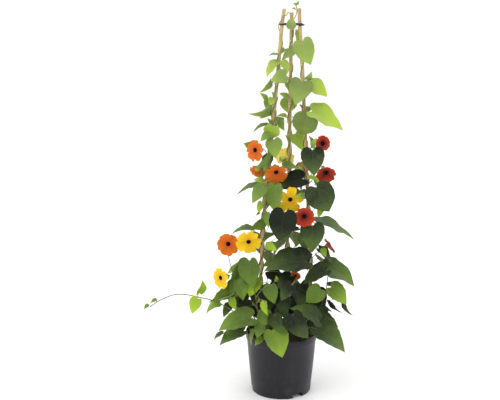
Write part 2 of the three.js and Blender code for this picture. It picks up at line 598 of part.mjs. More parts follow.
// ---------------------------------------------------------------- blooms
// Bloom rows: vine, eye across, eye down, depth, facing turn and lift in degrees, radius, kind, colour,
// roll in degrees, and how much longer the lower lobes are than the middle ones.
const BLOOMS = [
  ["vine_left_1", 255.3, 150, -30, -40, 5, 21, "plain", "orange", -10, 0.08],
  ["vine_left_2", 256.4, 171, -6, -140, -44, 14, "plain", "orange", 0, 0],
  ["vine_left_1", 276.2, 172.1, -58, 4, -24, 22, "plain", "orange", 0, 0.22],
  ["vine_back_2", 284.5, 157, 46, 165, 8, 20, "plain", "cream", 10, 0],
  ["vine_right_1", 322.6, 143.4, -24, 18, 10, 15, "round", "red", -8, 0],
  ["vine_right_2", 325.9, 172.5, -30, 8, -18, 18.5, "round", "red", -26, 0.34],
  ["vine_right_1", 301.6, 168.6, 24, 150, 0, 14, "round", "red", 0, 0],
  ["vine_back_1", 290.2, 199.4, -46, 5, -8, 26, "star", "yellow", -26, 0.06],
  ["vine_right_2", 304.1, 216.1, -52, 0, -8, 20, "round", "red", 0, 0.12],
  ["shoot_left", 228.3, 243.9, -30, -10, 0, 22.5, "round", "orange", 8, 0.06],
  ["vine_left_2", 248.6, 241.7, -54, 2, -14, 25, "plain", "yellow", 28, 0.05],
  ["vine_right_2", 328.6, 245, 8, 110, 30, 17, "round", "red", 0, 0.2],
  ["shoot_left", 220.8, 277.8, -44, -46, 0, 21, "plain", "yellow", -7, 0.05],
  ["shoot_front", 294.5, 276, -34, 10, 62, 12, "round", "orange", 0, 0],
  ["vine_back_1", 300, 91, 62, 170, 10, 18, "plain", "orange", 30, 0],
  ["vine_back_2", 274, 199, 78, -160, 0, 17, "plain", "yellow", 12, 0],
  ["vine_back_1", 311, 238, 84, 150, -6, 19, "round", "red", 20, 0],
];
const LOBE_OUTLINES = {
  plain: [[0, 0.7], [0.2, 0.98], [0.5, 0.93], [0.8, 0.98]],
  round: [[0, 0.84], [0.24, 0.99], [0.5, 0.97], [0.76, 0.99]],
  star: [[0, 0.48], [0.2, 0.94], [0.5, 1], [0.8, 0.94]],
};
const LOBES = 5;
const NEAR_SHIFTS = [0, -4, -9, 4, -15, 9, -22, 15];
const FAR_SHIFTS = [-30, 22, -40, 30, 40];

// The open face of a bloom looks along +Z, with the throat's rim at z = 0.
function petalSolid({ kind, radius, roll, skew }, extra) {
  const outline = LOBE_OUTLINES[kind];
  const ringCount = LOBES * 2;
  const rimCount = LOBES * outline.length;
  const points = [];
  const ring = (r, z) => {
    for (let k = 0; k < ringCount; k += 1) {
      const turn = (2 * Math.PI * k) / ringCount;
      points.push(point(r * Math.cos(turn), r * Math.sin(turn), z));
    }
  };
  const rim = (z) => {
    for (let k = 0; k < rimCount; k += 1) {
      const [share, reach] = outline[k % outline.length];
      const turn = (2 * Math.PI * (Math.floor(k / outline.length) + share)) / LOBES;
      const r = radius * reach * (1 - skew * Math.sin(turn + roll)) + extra;
      const curl = 2.2 - 4.2 * (reach - 0.5) * (0.6 + 0.4 * Math.cos(2 * Math.PI * (share - 0.5)));
      points.push(point(r * Math.cos(turn), r * Math.sin(turn), z + curl));
    }
  };
  const half = PETAL_THICKNESS / 2 + extra;
  ring(THROAT_RADIUS, half);
  rim(half);
  ring(THROAT_RADIUS + 0.8 + extra, -half - 0.4);
  rim(-half);
  ring(THROAT_RADIUS - 0.5, -4.4);
  ring(TUBE_FOOT_RADIUS + extra, -TUBE_LENGTH - extra);
  const [front, frontRim, back, backRim, recess, foot] = [
    0, ringCount, ringCount + rimCount, 2 * ringCount + rimCount, 2 * (ringCount + rimCount),
    3 * ringCount + 2 * rimCount];
  const faces = [];
  const plate = (inner, outer, turned) => {
    const add = (a, b, c) => faces.push(turned ? [a, c, b] : [a, b, c]);
    for (let k = 0; k < ringCount; k += 1) {
      const next = (k + 1) % ringCount;
      const per = outline.length / 2;
      for (let j = 0; j < per; j += 1) {
        const a = outer + k * per + j;
        const b = outer + ((k * per + j + 1) % rimCount);
        add(inner + (j < per - 1 ? k : next), a, b);
      }
      const join = outer + k * per + per - 1;
      add(inner + k, join, inner + next);
    }
  };
  plate(front, frontRim, false);
  plate(back, backRim, true);
  for (let k = 0; k < rimCount; k += 1) {
    const next = (k + 1) % rimCount;
    faces.push([frontRim + k, backRim + k, backRim + next]);
    faces.push([frontRim + k, backRim + next, frontRim + next]);
  }
  for (let k = 0; k < ringCount; k += 1) {
    const next = (k + 1) % ringCount;
    faces.push([front + k, front + next, recess + next], [front + k, recess + next, recess + k]);
    faces.push([back + k, foot + next, back + next], [back + k, foot + k, foot + next]);
    if (k > 0 && next > 0) {
      faces.push([recess, recess + k, recess + next], [foot, foot + next, foot + k]);
    }
  }
  return solid(points, faces);
}

function eyeSolid() {
  const profile = [[0, -3.6], [EYE_RADIUS - 0.4, -3.6], [EYE_RADIUS, -0.3], [0, -1.6]];
  return solidOf(lathe(profile, LOBES * 2));
}

// Two green bracts hug the tube's foot. They and the stalk's swollen end belong to the vine.
function bractLeaf(centre, forward, across, hand, radius) {
  const side = across.clone().multiplyScalar(hand);
  const width = Math.min(radius * 0.5, 10);
  const base = centre.clone().addScaledVector(forward, -TUBE_LENGTH - 1.8).addScaledVector(side, 1.65);
  const tip = centre.clone().addScaledVector(forward, -TUBE_LENGTH + 12.5).addScaledVector(side, 7.2);
  const along = tip.clone().sub(base);
  const length = along.length();
  along.normalize();
  const face = side.clone().addScaledVector(along, -side.dot(along)).normalize();
  return {
    kind: "bract", base, along, face, across: along.clone().cross(face), length, ratio: width / length,
    arch: 0.2, fold: -0.25, wave: 0, phase: 0,
  };
}

// ---------------------------------------------------------------- growing the plant
const placed = [];
const pieces = new Map();

function put(node, body, tests) {
  if (!pieces.has(node)) pieces.set(node, []);
  pieces.get(node).push(body);
  placed.push(...tests);
}

const isClear = (tests) => tests.every((test) => placed.every((other) => !crosses(test, other)));

// The way from a blade's base back to the middle of the stem, with a bow in a long stalk.
function stalkPath(leaf, start, radius, key) {
  const close = leaf.base.clone().addScaledVector(leaf.along, -1.1).addScaledVector(leaf.face, -0.5);
  const path = [close];
  const radii = [radius * 0.8];
  const span = close.distanceTo(start);
  if (span > 22) {
    const middle = close.clone().lerp(start, 0.5);
    middle.z += span * (0.08 + 0.12 * noise(key));
    path.push(middle);
    radii.push(radius * 0.9);
  }
  return { path: [...path, start], radii: [...radii, ROOT_RADIUS] };
}

// The same way as a thicker solid that starts clear of the stem, to test for room.
function stalkTest({ path, radii }) {
  const route = path.map((place) => place.clone());
  const last = route.length - 1;
  const toward = route[last - 1].clone().sub(route[last]);
  if (toward.length() > 5) route[last].addScaledVector(toward.normalize(), 3.4);
  else route[last].addScaledVector(toward, 0.5);
  return limb(route, radii.map((r) => Math.max(r, PETIOLE_RADIUS) * 1.3 + NODE_CLEARANCE), 4);
}

function growLeaf(vine, path, leaf, key, drop = 6) {
  const start = nearestOn(path, leaf.base.clone().add(point(0, 0, -drop)));
  const stalk = stalkPath(leaf, start, leaf.length > 14 ? PETIOLE_RADIUS : 0.45, key);
  const room = { ...leaf, length: leaf.length + 0.7 };
  const tests = [bladeSolid(room, BLADE_THICKNESS + 2 * NODE_CLEARANCE), stalkTest(stalk)];
  if (!isClear(tests)) return false;
  put(vine, bladeSolid(leaf, BLADE_THICKNESS, stalk), tests);
  return true;
}

const stems = {};
for (const vine of [...Object.keys(CLIMBERS), ...Object.keys(SHOOTS)]) stems[vine] = stemPath(vine);

// Fixed pieces first.
const pot = makePot();
put("pot", pot, [pot]);
const holes = [];
Object.keys(CANES).forEach((cane, i) => {
  const body = makeCane(cane, 30 + 37 * i);
  put(`cane_${cane}`, body, [body]);
  const rows = CANES[cane].slice(0, 3).map((row) => point(...row));
  rows[0].z -= HOLE_CLEARANCE;
  holes.push(limb(rows, rows.map(() => CANE_RADIUS + HOLE_CLEARANCE + 0.3), CANE_SIDES));
});
const tie = makeTie();
put("cane_tie", tie, [tie]);
for (const [vine, path] of Object.entries(stems)) {
  const foot = vine === "runner_left" ? 1 : STEM_FOOT_RADIUS;
  const radii = stemRadii(path, foot, STEM_TIP_RADIUS);
  put(vine, limb(path, radii, 3), [limb(path, radii.map((r) => r + NODE_CLEARANCE), 3)]);
  const start = path.slice(0, 3);
  start[0] = start[0].clone().addScaledVector(start[1].clone().sub(start[0]).normalize(), -HOLE_CLEARANCE);
  holes.push(limb(start, start.map(() => foot + 2 * HOLE_CLEARANCE), 3));
}
const soil = makeSoil(holes);
put("soil", soil, [soil]);

// Blooms, each with its eye, its bracts and its stalk.
const blooms = [];
const frameAt = (centre, forward, roll) => {
  const up = Math.abs(forward.z) > 0.95 ? point(0, 1, 0) : point(0, 0, 1);
  const across = up.cross(forward).normalize();
  const turned = across.applyAxisAngle(forward, roll);
  const matrix = new THREE.Matrix4().makeBasis(turned, forward.clone().cross(turned), forward);
  return matrix.setPosition(centre);
};
BLOOMS.forEach(([vine, across, down, depth, turn, lift, radius, kind, colour, spin, skew], number) => {
  const [yaw, rise, roll] = [turn, lift, spin].map((angle) => (angle * Math.PI) / 180);
  const shape = { kind, radius, roll, skew };
  const forward = point(Math.sin(yaw) * Math.cos(rise), -Math.cos(yaw) * Math.cos(rise), Math.sin(rise));
  for (const shift of [...NEAR_SHIFTS, ...FAR_SHIFTS]) {
    const centre = sightline(across, down, depth + shift);
    const matrix = frameAt(centre, forward, roll);
    const node = `bloom_${String(number + 1).padStart(2, "0")}`;
    const petalTest = petalSolid(shape, NODE_CLEARANCE).transform(matrix.elements);
    const sideways = point(1, 0, 0).transformDirection(matrix);
    const bracts = [1, -1].map((hand) => bractLeaf(centre, forward, sideways, hand, radius));
    const behind = (reach) => centre.clone().addScaledVector(forward, -TUBE_LENGTH - reach);
    const start = nearestOn(stems[vine], behind(6).add(point(0, 0, -14)));
    const middle = start.clone().lerp(behind(6), 0.5);
    middle.z += start.distanceTo(behind(6)) * (0.1 + 0.12 * noise(number));
    const way = [start, middle, behind(6), behind(3.5), behind(1.1)];
    const stalkBody = limb(way, [ROOT_RADIUS * 1.3, 0.8, 0.8, 1.1, 2.8], 4);
    const bractBodies = bracts.map((bract) => bladeSolid(bract, BLADE_THICKNESS));
    const test = stalkTest({ path: [behind(6), middle, start], radii: [0.7, 0.7, 0.7] });
    if (isClear([petalTest, test, ...bractBodies])) {
      blooms.push({ node, shape, colour, matrix });
      placed.push(petalTest);
      put(vine, stalkBody, [test, stalkBody]);
      bractBodies.forEach((body) => put(vine, body, [body]));
      return;
    }
  }
});

// A closed flower bud between its two bracts, on a stalk.
const BUD = { vine: "shoot_front", top: [290.4, 275.5, -58], foot: [290.8, 284, -56], width: 4.3 };
const budTop = sightline(...BUD.top);
const budFoot = sightline(...BUD.foot);
const budStart = nearestOn(stems[BUD.vine], budFoot.clone().add(point(0, 0, -16)));
const budBend = budStart.clone().lerp(budFoot, 0.6).add(point(0, 0, 3));
const budWay = [budStart, budBend, budFoot, ...[0.3, 0.65, 1].map((t) => budFoot.clone().lerp(budTop, t))];
const budRadii = [ROOT_RADIUS * 1.3, 0.7, 1.1, BUD.width, BUD.width * 0.8, 0.5];
const bud = limb(budWay, budRadii, 6);
put(BUD.vine, bud, [limb(budWay.slice(1), budRadii.slice(1).map((r) => r + NODE_CLEARANCE), 6)]);

// Leaves of the front view, then the pairs behind. A leaf without room tries other starts for its stalk
// at each near depth, then turns the other way, then tries the depths farther off.
const STALK_DROPS = [6, 26, -10, 42, 14];
const TRIES = [NEAR_SHIFTS, FAR_SHIFTS].flatMap((shifts) => [1, -1].flatMap(
  (hand) => shifts.flatMap((shift) => STALK_DROPS.map((drop) => [shift, hand, drop]))));
for (const [vine, rows] of Object.entries(LEAVES)) {
  rows.forEach(([ax, ay, bx, by, width, depth, side], number) => {
    const key = number + 31 * vine.length + vine.charCodeAt(vine.length - 1);
    const scale = (depth - VIEWER.y) / VIEW_FOCAL;
    TRIES.some(([shift, hand, drop]) => {
      const base = sightline(ax, ay, depth + shift);
      const tip = sightline(bx, by, depth + shift - 3);
      const face = VIEWER.clone().sub(base);
      const leaf = leafFrom(base, tip, width * scale, face, side * hand, key);
      return growLeaf(vine, stems[vine], leaf, key, drop);
    });
  });
}
for (const [vine, { from, to }] of Object.entries(BACK_PAIRS)) {
  for (let height = from; height < to; height += PAIR_SPACING) {
    for (const hand of [-1, 1]) {
      const key = height * 0.37 + hand * 3 + vine.length * 7;
      [0, 8, -8, 16, -16].some((extra) => {
        const leaf = pairLeaf(vine, stems[vine], height + extra, hand, key);
        return growLeaf(vine, stems[vine], leaf, key);
      });
    }
  }
}

// ---------------------------------------------------------------- the group
const COLOURS = {
  pot: [0x343238, 0.45], soil: [0x2b1f18, 0.95], cane: [0xcdb47d, 0.5], tie: [0x17171a, 0.5],
  foliage: [0x50733a, 0.6], orange: [0xe1731e, 0.55], yellow: [0xf5c832, 0.55], cream: [0xf0d764, 0.55],
  red: [0xbe3c28, 0.55], eye: [0x19080f, 0.8],
};
const materials = Object.fromEntries(Object.entries(COLOURS).map(([name, [color, roughness]]) => [
  name, new THREE.MeshStandardMaterial({ color, roughness, metalness: 0 })]));

function meshOf(name, body, material) {
  const { vertProperties, triVerts } = body.getMesh();
  const geometry = new THREE.BufferGeometry();
  geometry.setAttribute("position", new THREE.BufferAttribute(new Float32Array(vertProperties), 3));
  geometry.setIndex(new THREE.BufferAttribute(new Uint32Array(triVerts), 1));
  geometry.computeVertexNormals();
  const mesh = new THREE.Mesh(geometry, material);
  mesh.name = name;
  return mesh;
}

const plant = new THREE.Group();
const potted = new THREE.Group();
const support = new THREE.Group();
const flowers = new THREE.Group();
for (const [node, bodies] of pieces) {
  if (node.startsWith("bloom_")) continue;
  const body = bodies.reduce((whole, next) => whole.add(next));
  const kind = node.startsWith("cane_") ? node.replace("cane_tie", "tie").split("_")[0] : node;
  const mesh = meshOf(node, body, materials[kind] ?? materials.foliage);
  (node.startsWith("cane_") ? support : potted).add(mesh);
}
for (const { node, shape, colour, matrix } of blooms) {
  const holder = new THREE.Group();
  holder.applyMatrix4(matrix);
  holder.add(meshOf(`${node}_petals`, petalSolid(shape, 0), materials[colour]));
  holder.add(meshOf(`${node}_eye`, eyeSolid(), materials.eye));
  flowers.add(holder);
}
plant.add(potted, support, flowers);

export default plant;
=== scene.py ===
# %% [markdown]
# # A black eyed susan vine in its pot
# A young twining plant climbs three bamboo canes that stand in a nursery pot and are strapped together
# near the top. The measured solids of the same plant are loaded first, so that each finer piece goes
# exactly where its plain one is. Blender works in metres, and MM turns a maker's millimetres into them.
# %% Load the solids
import math
from itertools import product

import bpy
import numpy as np
from mathutils import Matrix, Quaternion, Vector
from mathutils.bvhtree import BVHTree
from mathutils.kdtree import KDTree


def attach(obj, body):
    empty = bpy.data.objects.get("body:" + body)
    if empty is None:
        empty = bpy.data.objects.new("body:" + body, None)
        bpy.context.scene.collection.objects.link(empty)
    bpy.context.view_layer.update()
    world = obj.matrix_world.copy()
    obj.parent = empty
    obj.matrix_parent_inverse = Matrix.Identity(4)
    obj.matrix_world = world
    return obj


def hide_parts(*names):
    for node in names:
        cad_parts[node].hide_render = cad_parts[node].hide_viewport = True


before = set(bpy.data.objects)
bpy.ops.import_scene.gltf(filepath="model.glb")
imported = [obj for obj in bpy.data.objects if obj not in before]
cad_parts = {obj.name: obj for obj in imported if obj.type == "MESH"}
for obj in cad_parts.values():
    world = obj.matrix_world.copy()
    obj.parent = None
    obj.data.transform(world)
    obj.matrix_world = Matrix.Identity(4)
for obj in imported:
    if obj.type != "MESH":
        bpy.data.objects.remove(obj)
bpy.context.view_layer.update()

MM = 0.001

# %% [markdown]
# ## Camera, floor and light
# A plant is portrayed standing in a white room. The camera stands two metres in front, a little above
# the flowers, and looks down by about fourteen degrees through a long lens, so that the canes stay
# slim. A very wide pale floor and an even white sky give the soft light of a light tent, and two large
# area lamps add a direction, so that leaves still show their form.
# %% Camera, floor and light
# Where the camera stands, in mm, and how far it looks down.
VIEWER = Vector((-62, -2000, 870))
VIEW_TILT = math.radians(13.6)

bpy.ops.object.camera_add(location=[c * MM for c in VIEWER], rotation=(math.pi / 2 - VIEW_TILT, 0, 0))
camera = bpy.context.object
camera.data.lens = 77.26
camera.data.sensor_width = 36
camera.data.clip_end = 200
bpy.context.scene.camera = camera

bpy.ops.mesh.primitive_plane_add(size=120)
floor = bpy.context.object
floor.name = "floor"

PLANT_MIDDLE = Vector((0, 0, 0.38))
LAMPS = [
    ("key_lamp", (-1.2, -1.5, 2.5), 1.7, 27),
    ("fill_lamp", (1.9, -1.2, 1.0), 1.8, 4),
    ("back_lamp", (0.6, 2.0, 1.7), 1.6, 10),
]
for name, place, size, power in LAMPS:
    bpy.ops.object.light_add(type="AREA", location=place)
    lamp = bpy.context.object
    lamp.name = name
    lamp.data.size = size
    lamp.data.energy = power
    lamp.rotation_euler = (PLANT_MIDDLE - lamp.location).to_track_quat("-Z", "Y").to_euler()

sky = bpy.data.worlds.new("white_room")
sky.use_nodes = True
sky.node_tree.nodes["Background"].inputs["Color"].default_value = (1, 1, 1, 1)
sky.node_tree.nodes["Background"].inputs["Strength"].default_value = 1.1
bpy.context.scene.world = sky
bpy.context.scene.view_settings.view_transform = "Standard"
print("camera height in mm", round(camera.location.z / MM), "lamps", len(LAMPS))

# %% [markdown]
# ## Writing shaders as sums
# A finish is a small graph of nodes. Drawn by hand it soon gets hard to follow, so here one class
# stands for a wire. Adding or multiplying wires makes the Math nodes, and its method node() makes any
# other node. Colours are blended with a Mix node, because a Math node would turn them grey.
# Colours are written as screen numbers, from 0 to 255.
# %% Wires
class Wire:
    """One output of a shader's node tree, which can be used in Python expressions."""

    def __init__(self, tree, socket=None):
        self.tree = tree
        self.socket = socket

    def node(self, kind, sockets=(), out=0, **settings):
        """Adds a node with its settings and what its sockets take. Returns one output or several."""
        made = self.tree.nodes.new(kind)
        for name, value in settings.items():
            setattr(made, name, value)
        for key, value in dict(sockets).items():
            if isinstance(value, Wire):
                self.tree.links.new(value.socket, made.inputs[key])
            else:
                made.inputs[key].default_value = value
        if isinstance(out, tuple):
            return [Wire(self.tree, made.outputs[name]) for name in out]
        return Wire(self.tree, made.outputs[out])

    def math(self, operation, *values):
        return self.node("ShaderNodeMath", enumerate(values), operation=operation)

    def __add__(self, other):
        return self.math("ADD", self, other)

    def __sub__(self, other):
        return self.math("SUBTRACT", self, other)

    def __rsub__(self, other):
        return self.math("SUBTRACT", other, self)

    def __mul__(self, other):
        return self.math("MULTIPLY", self, other)

    def __abs__(self):
        return self.math("ABSOLUTE", self)

    def __pow__(self, power):
        return self.math("POWER", self, power)

    __radd__ = __add__
    __rmul__ = __mul__


def linear(red, green, blue):
    """A colour in screen numbers as the light that a shader reckons with."""
    shares = [c / 255 for c in (red, green, blue)]
    return (*[s / 12.92 if s <= 0.04045 else ((s + 0.055) / 1.055) ** 2.4 for s in shares], 1)


def smooth(value, low, high):
    """0 below low, 1 above high and an S-curve between, or the other way round if low is above high."""
    if low > high:
        return 1 - smooth(value, high, low)
    sockets = {"Value": value, "From Min": low, "From Max": high}
    return value.node("ShaderNodeMapRange", sockets, interpolation_type="SMOOTHSTEP")


def blend(share, first, second):
    """The first colour where share is 0 and the second where it is 1. Each is a wire or numbers."""
    first, second = (c if isinstance(c, Wire) else linear(*c) for c in (first, second))
    return share.node("ShaderNodeMix", {0: share, 6: first, 7: second}, 2, data_type="RGBA")


def ramp(value, stops):
    """The colour at a value, from stops of a value and a colour."""
    colour = value.node("ShaderNodeValToRGB", {0: value})
    elements = colour.socket.node.color_ramp.elements
    for position, _ in stops[1:-1]:
        elements.new(position)
    for element, (position, numbers) in zip(elements, stops):
        element.position = position
        element.color = linear(*numbers)
    return colour


def speckle(where, scale, detail=2, rough=0.5):
    """Soft cloudy noise from 0 to 1, scale spots to a metre."""
    sockets = {"Vector": where, "Scale": scale, "Detail": detail, "Roughness": rough}
    return where.node("ShaderNodeTexNoise", sockets)


def stretched(where, x, y, z):
    """The same place with each axis multiplied, to draw a pattern out along one of them."""
    return where.node("ShaderNodeMapping", {"Vector": where, "Scale": (x, y, z)})


def split(where, axes):
    """One axis of a place, or several."""
    return where.node("ShaderNodeSeparateXYZ", {0: where}, axes)


def stored(wire, name, out="Fac"):
    """What was stored under a name on the points of the mesh."""
    return wire.node("ShaderNodeAttribute", out=out, attribute_name=name)


def bump(height, depth, strength=1):
    """A relief whose full height is depth in metres."""
    return height.node("ShaderNodeBump", {"Height": height, "Distance": depth, "Strength": strength})


def make_finish(name, paint, constants):
    """A material: paint() turns the place on the object into what varies, constants holds the rest."""
    finish = bpy.data.materials.new(name)
    finish.use_nodes = True
    shader = finish.node_tree.nodes["Principled BSDF"]
    for socket, value in constants.items():
        shader.inputs[socket].default_value = value
    place = Wire(finish.node_tree).node("ShaderNodeTexCoord", out="Object")
    for socket, wire in paint(place).items():
        finish.node_tree.links.new(wire.socket, shader.inputs[socket])
    return finish


def white_floor(place):
    return {"Base Color": 0.93 + 0.02 * speckle(place, 3)}


floor.data.materials.append(make_finish("pale_floor", white_floor, {"Roughness": 0.9}))
print("first finish made:", floor.data.materials[0].name)

# %% [markdown]
# ## The pot
# The pot is a thin moulded shell with a stepped rim, a wall that widens upward and three drain notches,
# each a small recess in the corner of its base with a hole at its back. It could be spun from a
# profile. Extruding a disc ring by ring is as quick, closes both ends by itself and keeps the walls in
# even quads. One such body is the filled pot and another its hollow, which is cut out of it. Boxes are
# cut out of the hollow first, so that the plastic stays there and walls each recess. A bevel rounds
# every hard corner as a mould would.
# %% Tools for shaping
def select(pieces):
    """Selects these pieces alone, because an operator works on all that is selected."""
    bpy.ops.object.select_all(action="DESELECT")
    for piece in pieces:
        piece.select_set(True)
    bpy.context.view_layer.objects.active = pieces[0]


def edit_all():
    bpy.ops.object.mode_set(mode="EDIT")
    bpy.ops.mesh.select_all(action="SELECT")


def edit_faces(piece, wanted):
    """Goes into edit mode with only those faces selected for which wanted(face) is true."""
    bpy.ops.object.mode_set(mode="EDIT")
    bpy.ops.mesh.select_all(action="DESELECT")
    bpy.ops.object.mode_set(mode="OBJECT")
    for face in piece.data.polygons:
        face.select = wanted(face)
    bpy.ops.object.mode_set(mode="EDIT")


def close_up():
    """Turns all faces outward, leaves edit mode and gives the piece, its place taken into its mesh."""
    bpy.ops.mesh.select_all(action="SELECT")
    bpy.ops.mesh.normals_make_consistent(inside=False)
    bpy.ops.object.mode_set(mode="OBJECT")
    bpy.ops.object.transform_apply()
    return bpy.context.object


def extrude(step):
    """Extrudes what is selected by a step in mm."""
    bpy.ops.mesh.extrude_region_move(TRANSFORM_OT_translate={"value": [c * MM for c in step]})


def draw_up(stations, sides):
    """Extrudes and scales a disc through stations of a middle and a radius. It stays in edit mode."""
    place, radius = stations[0]
    bpy.ops.mesh.primitive_circle_add(
        vertices=sides, radius=radius * MM, fill_type="NGON", location=[c * MM for c in place])
    edit_all()
    for next_place, next_radius in stations[1:]:
        extrude([b - a for a, b in zip(place, next_place)])
        ratio = next_radius / radius
        bpy.ops.transform.resize(value=(ratio, ratio, 1), center_override=[c * MM for c in next_place])
        place, radius = next_place, next_radius


def turned(rings, sides):
    """A closed round solid from rings of a radius and a height."""
    draw_up([((0, 0, height), radius) for radius, height in rings], sides)
    return close_up()


def box(size, place, turn=0):
    """A box of a size round a place, both in mm, turned about an upright line."""
    bpy.ops.mesh.primitive_cube_add(
        size=1, scale=Vector(size) * MM, rotation=(0, 0, turn), location=Vector(place) * MM)
    bpy.ops.object.transform_apply()
    return bpy.context.object


def modify(piece, kind, **settings):
    """Adds a modifier and applies it at once."""
    select([piece])
    modifier = piece.modifiers.new(kind.lower(), kind)
    for name, value in settings.items():
        setattr(modifier, name, value)
    bpy.ops.object.modifier_apply(modifier=modifier.name)


def round_edges(piece, width, segments):
    """Bevels each edge whose faces turn by more than 50 degrees, by a width in mm."""
    modify(piece, "BEVEL", width=width * MM, segments=segments, limit_method="ANGLE",
           angle_limit=math.radians(50))


def cut(piece, tool):
    modify(piece, "BOOLEAN", operation="DIFFERENCE", object=tool, solver="EXACT")
    bpy.data.objects.remove(tool)


def new_piece(name, data):
    piece = bpy.data.objects.new(name, data)
    bpy.context.collection.objects.link(piece)
    return piece


def join(pieces):
    """Makes one object of several, which keeps the place of each."""
    select(pieces)
    bpy.ops.object.join()
    return pieces[0]


def store(mesh, name, values, kind="FLOAT", field="value"):
    """Stores numbers on the points of a mesh, for a finish to read."""
    mesh.attributes.new(name, kind, "POINT").data.foreach_set(field, values)


def hand_over(piece, name, node, finish=None, sharp=35):
    """Names a finished piece, shades it, and lets it stand for its solid."""
    piece.name = name
    piece.data.name = name
    if finish:
        piece.data.materials.append(finish)
    select([piece])
    bpy.ops.object.transform_apply()
    bpy.ops.object.shade_smooth_by_angle(angle=math.radians(sharp))
    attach(piece, "root")
    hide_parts(node)
    size = [round(side / MM, 1) for side in piece.dimensions]
    print(name, "stands for", node, "size in mm", size, "faces", len(piece.data.polygons))


# %% Pot shell
# Radius and height of each ring, in mm.
POT_OUTSIDE = [
    (40, 0), (56.6, 0), (57.7, 0.3), (58.4, 1.5), (62, 37), (66, 80), (68.1, 107.4), (68.5, 108.4),
    (69.8, 108.8), (70, 109.4), (70, 120.9), (69.6, 121.8), (69, 122),
]
POT_HOLLOW = [
    (40, 2), (56.4, 2), (57, 2.4), (60.5, 37), (66.7, 107), (68, 120.8), (68.3, 121.7), (69.6, 122.4),
]
POT_SIDES = 120
POT_WALL = 1.5
FOOT_RADIUS = 58.5
NOTCH_WIDTH, NOTCH_HEIGHT, NOTCH_DEPTH = 22, 9, 15
NOTCH_TURNS = [math.radians(turn) for turn in (33, 153, 273)]
HOLE_BOTTOM = 3.25
HOLE_SIZE = (NOTCH_WIDTH / 2, 4 * POT_WALL, NOTCH_HEIGHT / 2)


def foot_box(turn, out, bottom, size):
    """A box across the pot's foot at a bearing, its middle a distance out from the axis."""
    return box(size, (out * math.sin(turn), -out * math.cos(turn), bottom + size[2] / 2), turn)


def notch_box(turn, margin, below):
    """The room of a notch with a margin round it, from some way below the pot's base."""
    size = (NOTCH_WIDTH + 2 * margin, 2 * (NOTCH_DEPTH + margin), NOTCH_HEIGHT + margin + below)
    return foot_box(turn, FOOT_RADIUS, -below, size)


hollow = turned(POT_HOLLOW, POT_SIDES)
for turn in NOTCH_TURNS:
    housing = notch_box(turn, POT_WALL, 1)
    round_edges(housing, 2.4, 4)
    cut(hollow, housing)
pot = turned(POT_OUTSIDE, POT_SIDES)
cut(pot, hollow)
for turn in NOTCH_TURNS:
    recess = notch_box(turn, 0, 5)
    round_edges(recess, 1.6, 4)
    cut(pot, recess)
    cut(pot, foot_box(turn, FOOT_RADIUS - NOTCH_DEPTH, HOLE_BOTTOM, HOLE_SIZE))
round_edges(pot, 0.3, 2)


# %% [markdown]
# The plastic is charcoal, coloured right through and a little glossy. What keeps it from looking like
# a drawing is slight: flow marks round the wall from the mould, dried water marks that run down, a
# little dust low down, and fine scuffs. All of them change the gloss more than the colour.
# %% Pot plastic
def charcoal_plastic(place):
    runs = smooth(speckle(stretched(place, 1, 1, 0.12), 90, 3), 0.52, 0.75)
    dust = smooth(speckle(place, 45, 4, 0.6), 0.45, 0.8) * smooth(split(place, "Z"), 0.09, 0.0)
    scuffs = smooth(speckle(stretched(place, 1, 1, 6), 160, 4, 0.7), 0.62, 0.72)
    grain = speckle(place, 2600, 2)
    colour = blend(0.03 * runs + 0.14 * dust + 0.05 * scuffs, (15, 13, 22), (112, 108, 104))
    gloss = 0.38 + 0.05 * runs + 0.2 * dust + 0.1 * scuffs
    return {"Base Color": colour, "Roughness": gloss, "Normal": bump(grain + 2 * scuffs, 0.00006, 0.5)}


pot_finish = make_finish("charcoal_plastic", charcoal_plastic, {"Specular IOR Level": 0.36})
hand_over(pot, "pot_shell", "pot", pot_finish)

# %% [markdown]
# ## The soil
# Peat compost is a loose dark crumb with a few white grains of perlite. A turned plug fills the pot.
# Its top is rippled by a cloud pattern, and one small crumb is copied about three hundred times, turned
# and stretched differently each time, and pressed into the surface. The same seed gives the same soil
# on every run.
# %% Soil
SOIL_TOP = 110
SOIL_GAP = 0.35
SOIL_WALL = [(50, 2.6), (56.2, 2.6), (59.6, 37), (65.2, 100), (65.7, 108), (64.6, 109.6)]


def fraction(key):
    """A fixed number between 0 and 1 for each key, which scatters things without dice."""
    value = math.sin(key * 12.9898 + 4.1414) * 43758.5453
    return value - math.floor(value)


soil = turned(SOIL_WALL + [(radius, SOIL_TOP) for radius in range(62, 0, -3)], 90)
for turn in NOTCH_TURNS:
    cut(soil, notch_box(turn, POT_WALL + SOIL_GAP, 1))
top = soil.vertex_groups.new(name="top")
top.add([v.index for v in soil.data.vertices if v.co.z > (SOIL_TOP - 0.2) * MM], 1, "REPLACE")
ripple = bpy.data.textures.new("peat_ripple", "CLOUDS")
ripple.noise_scale = 0.011
modify(soil, "DISPLACE", texture=ripple, strength=4 * MM, mid_level=0.55, direction="Z", vertex_group="top")

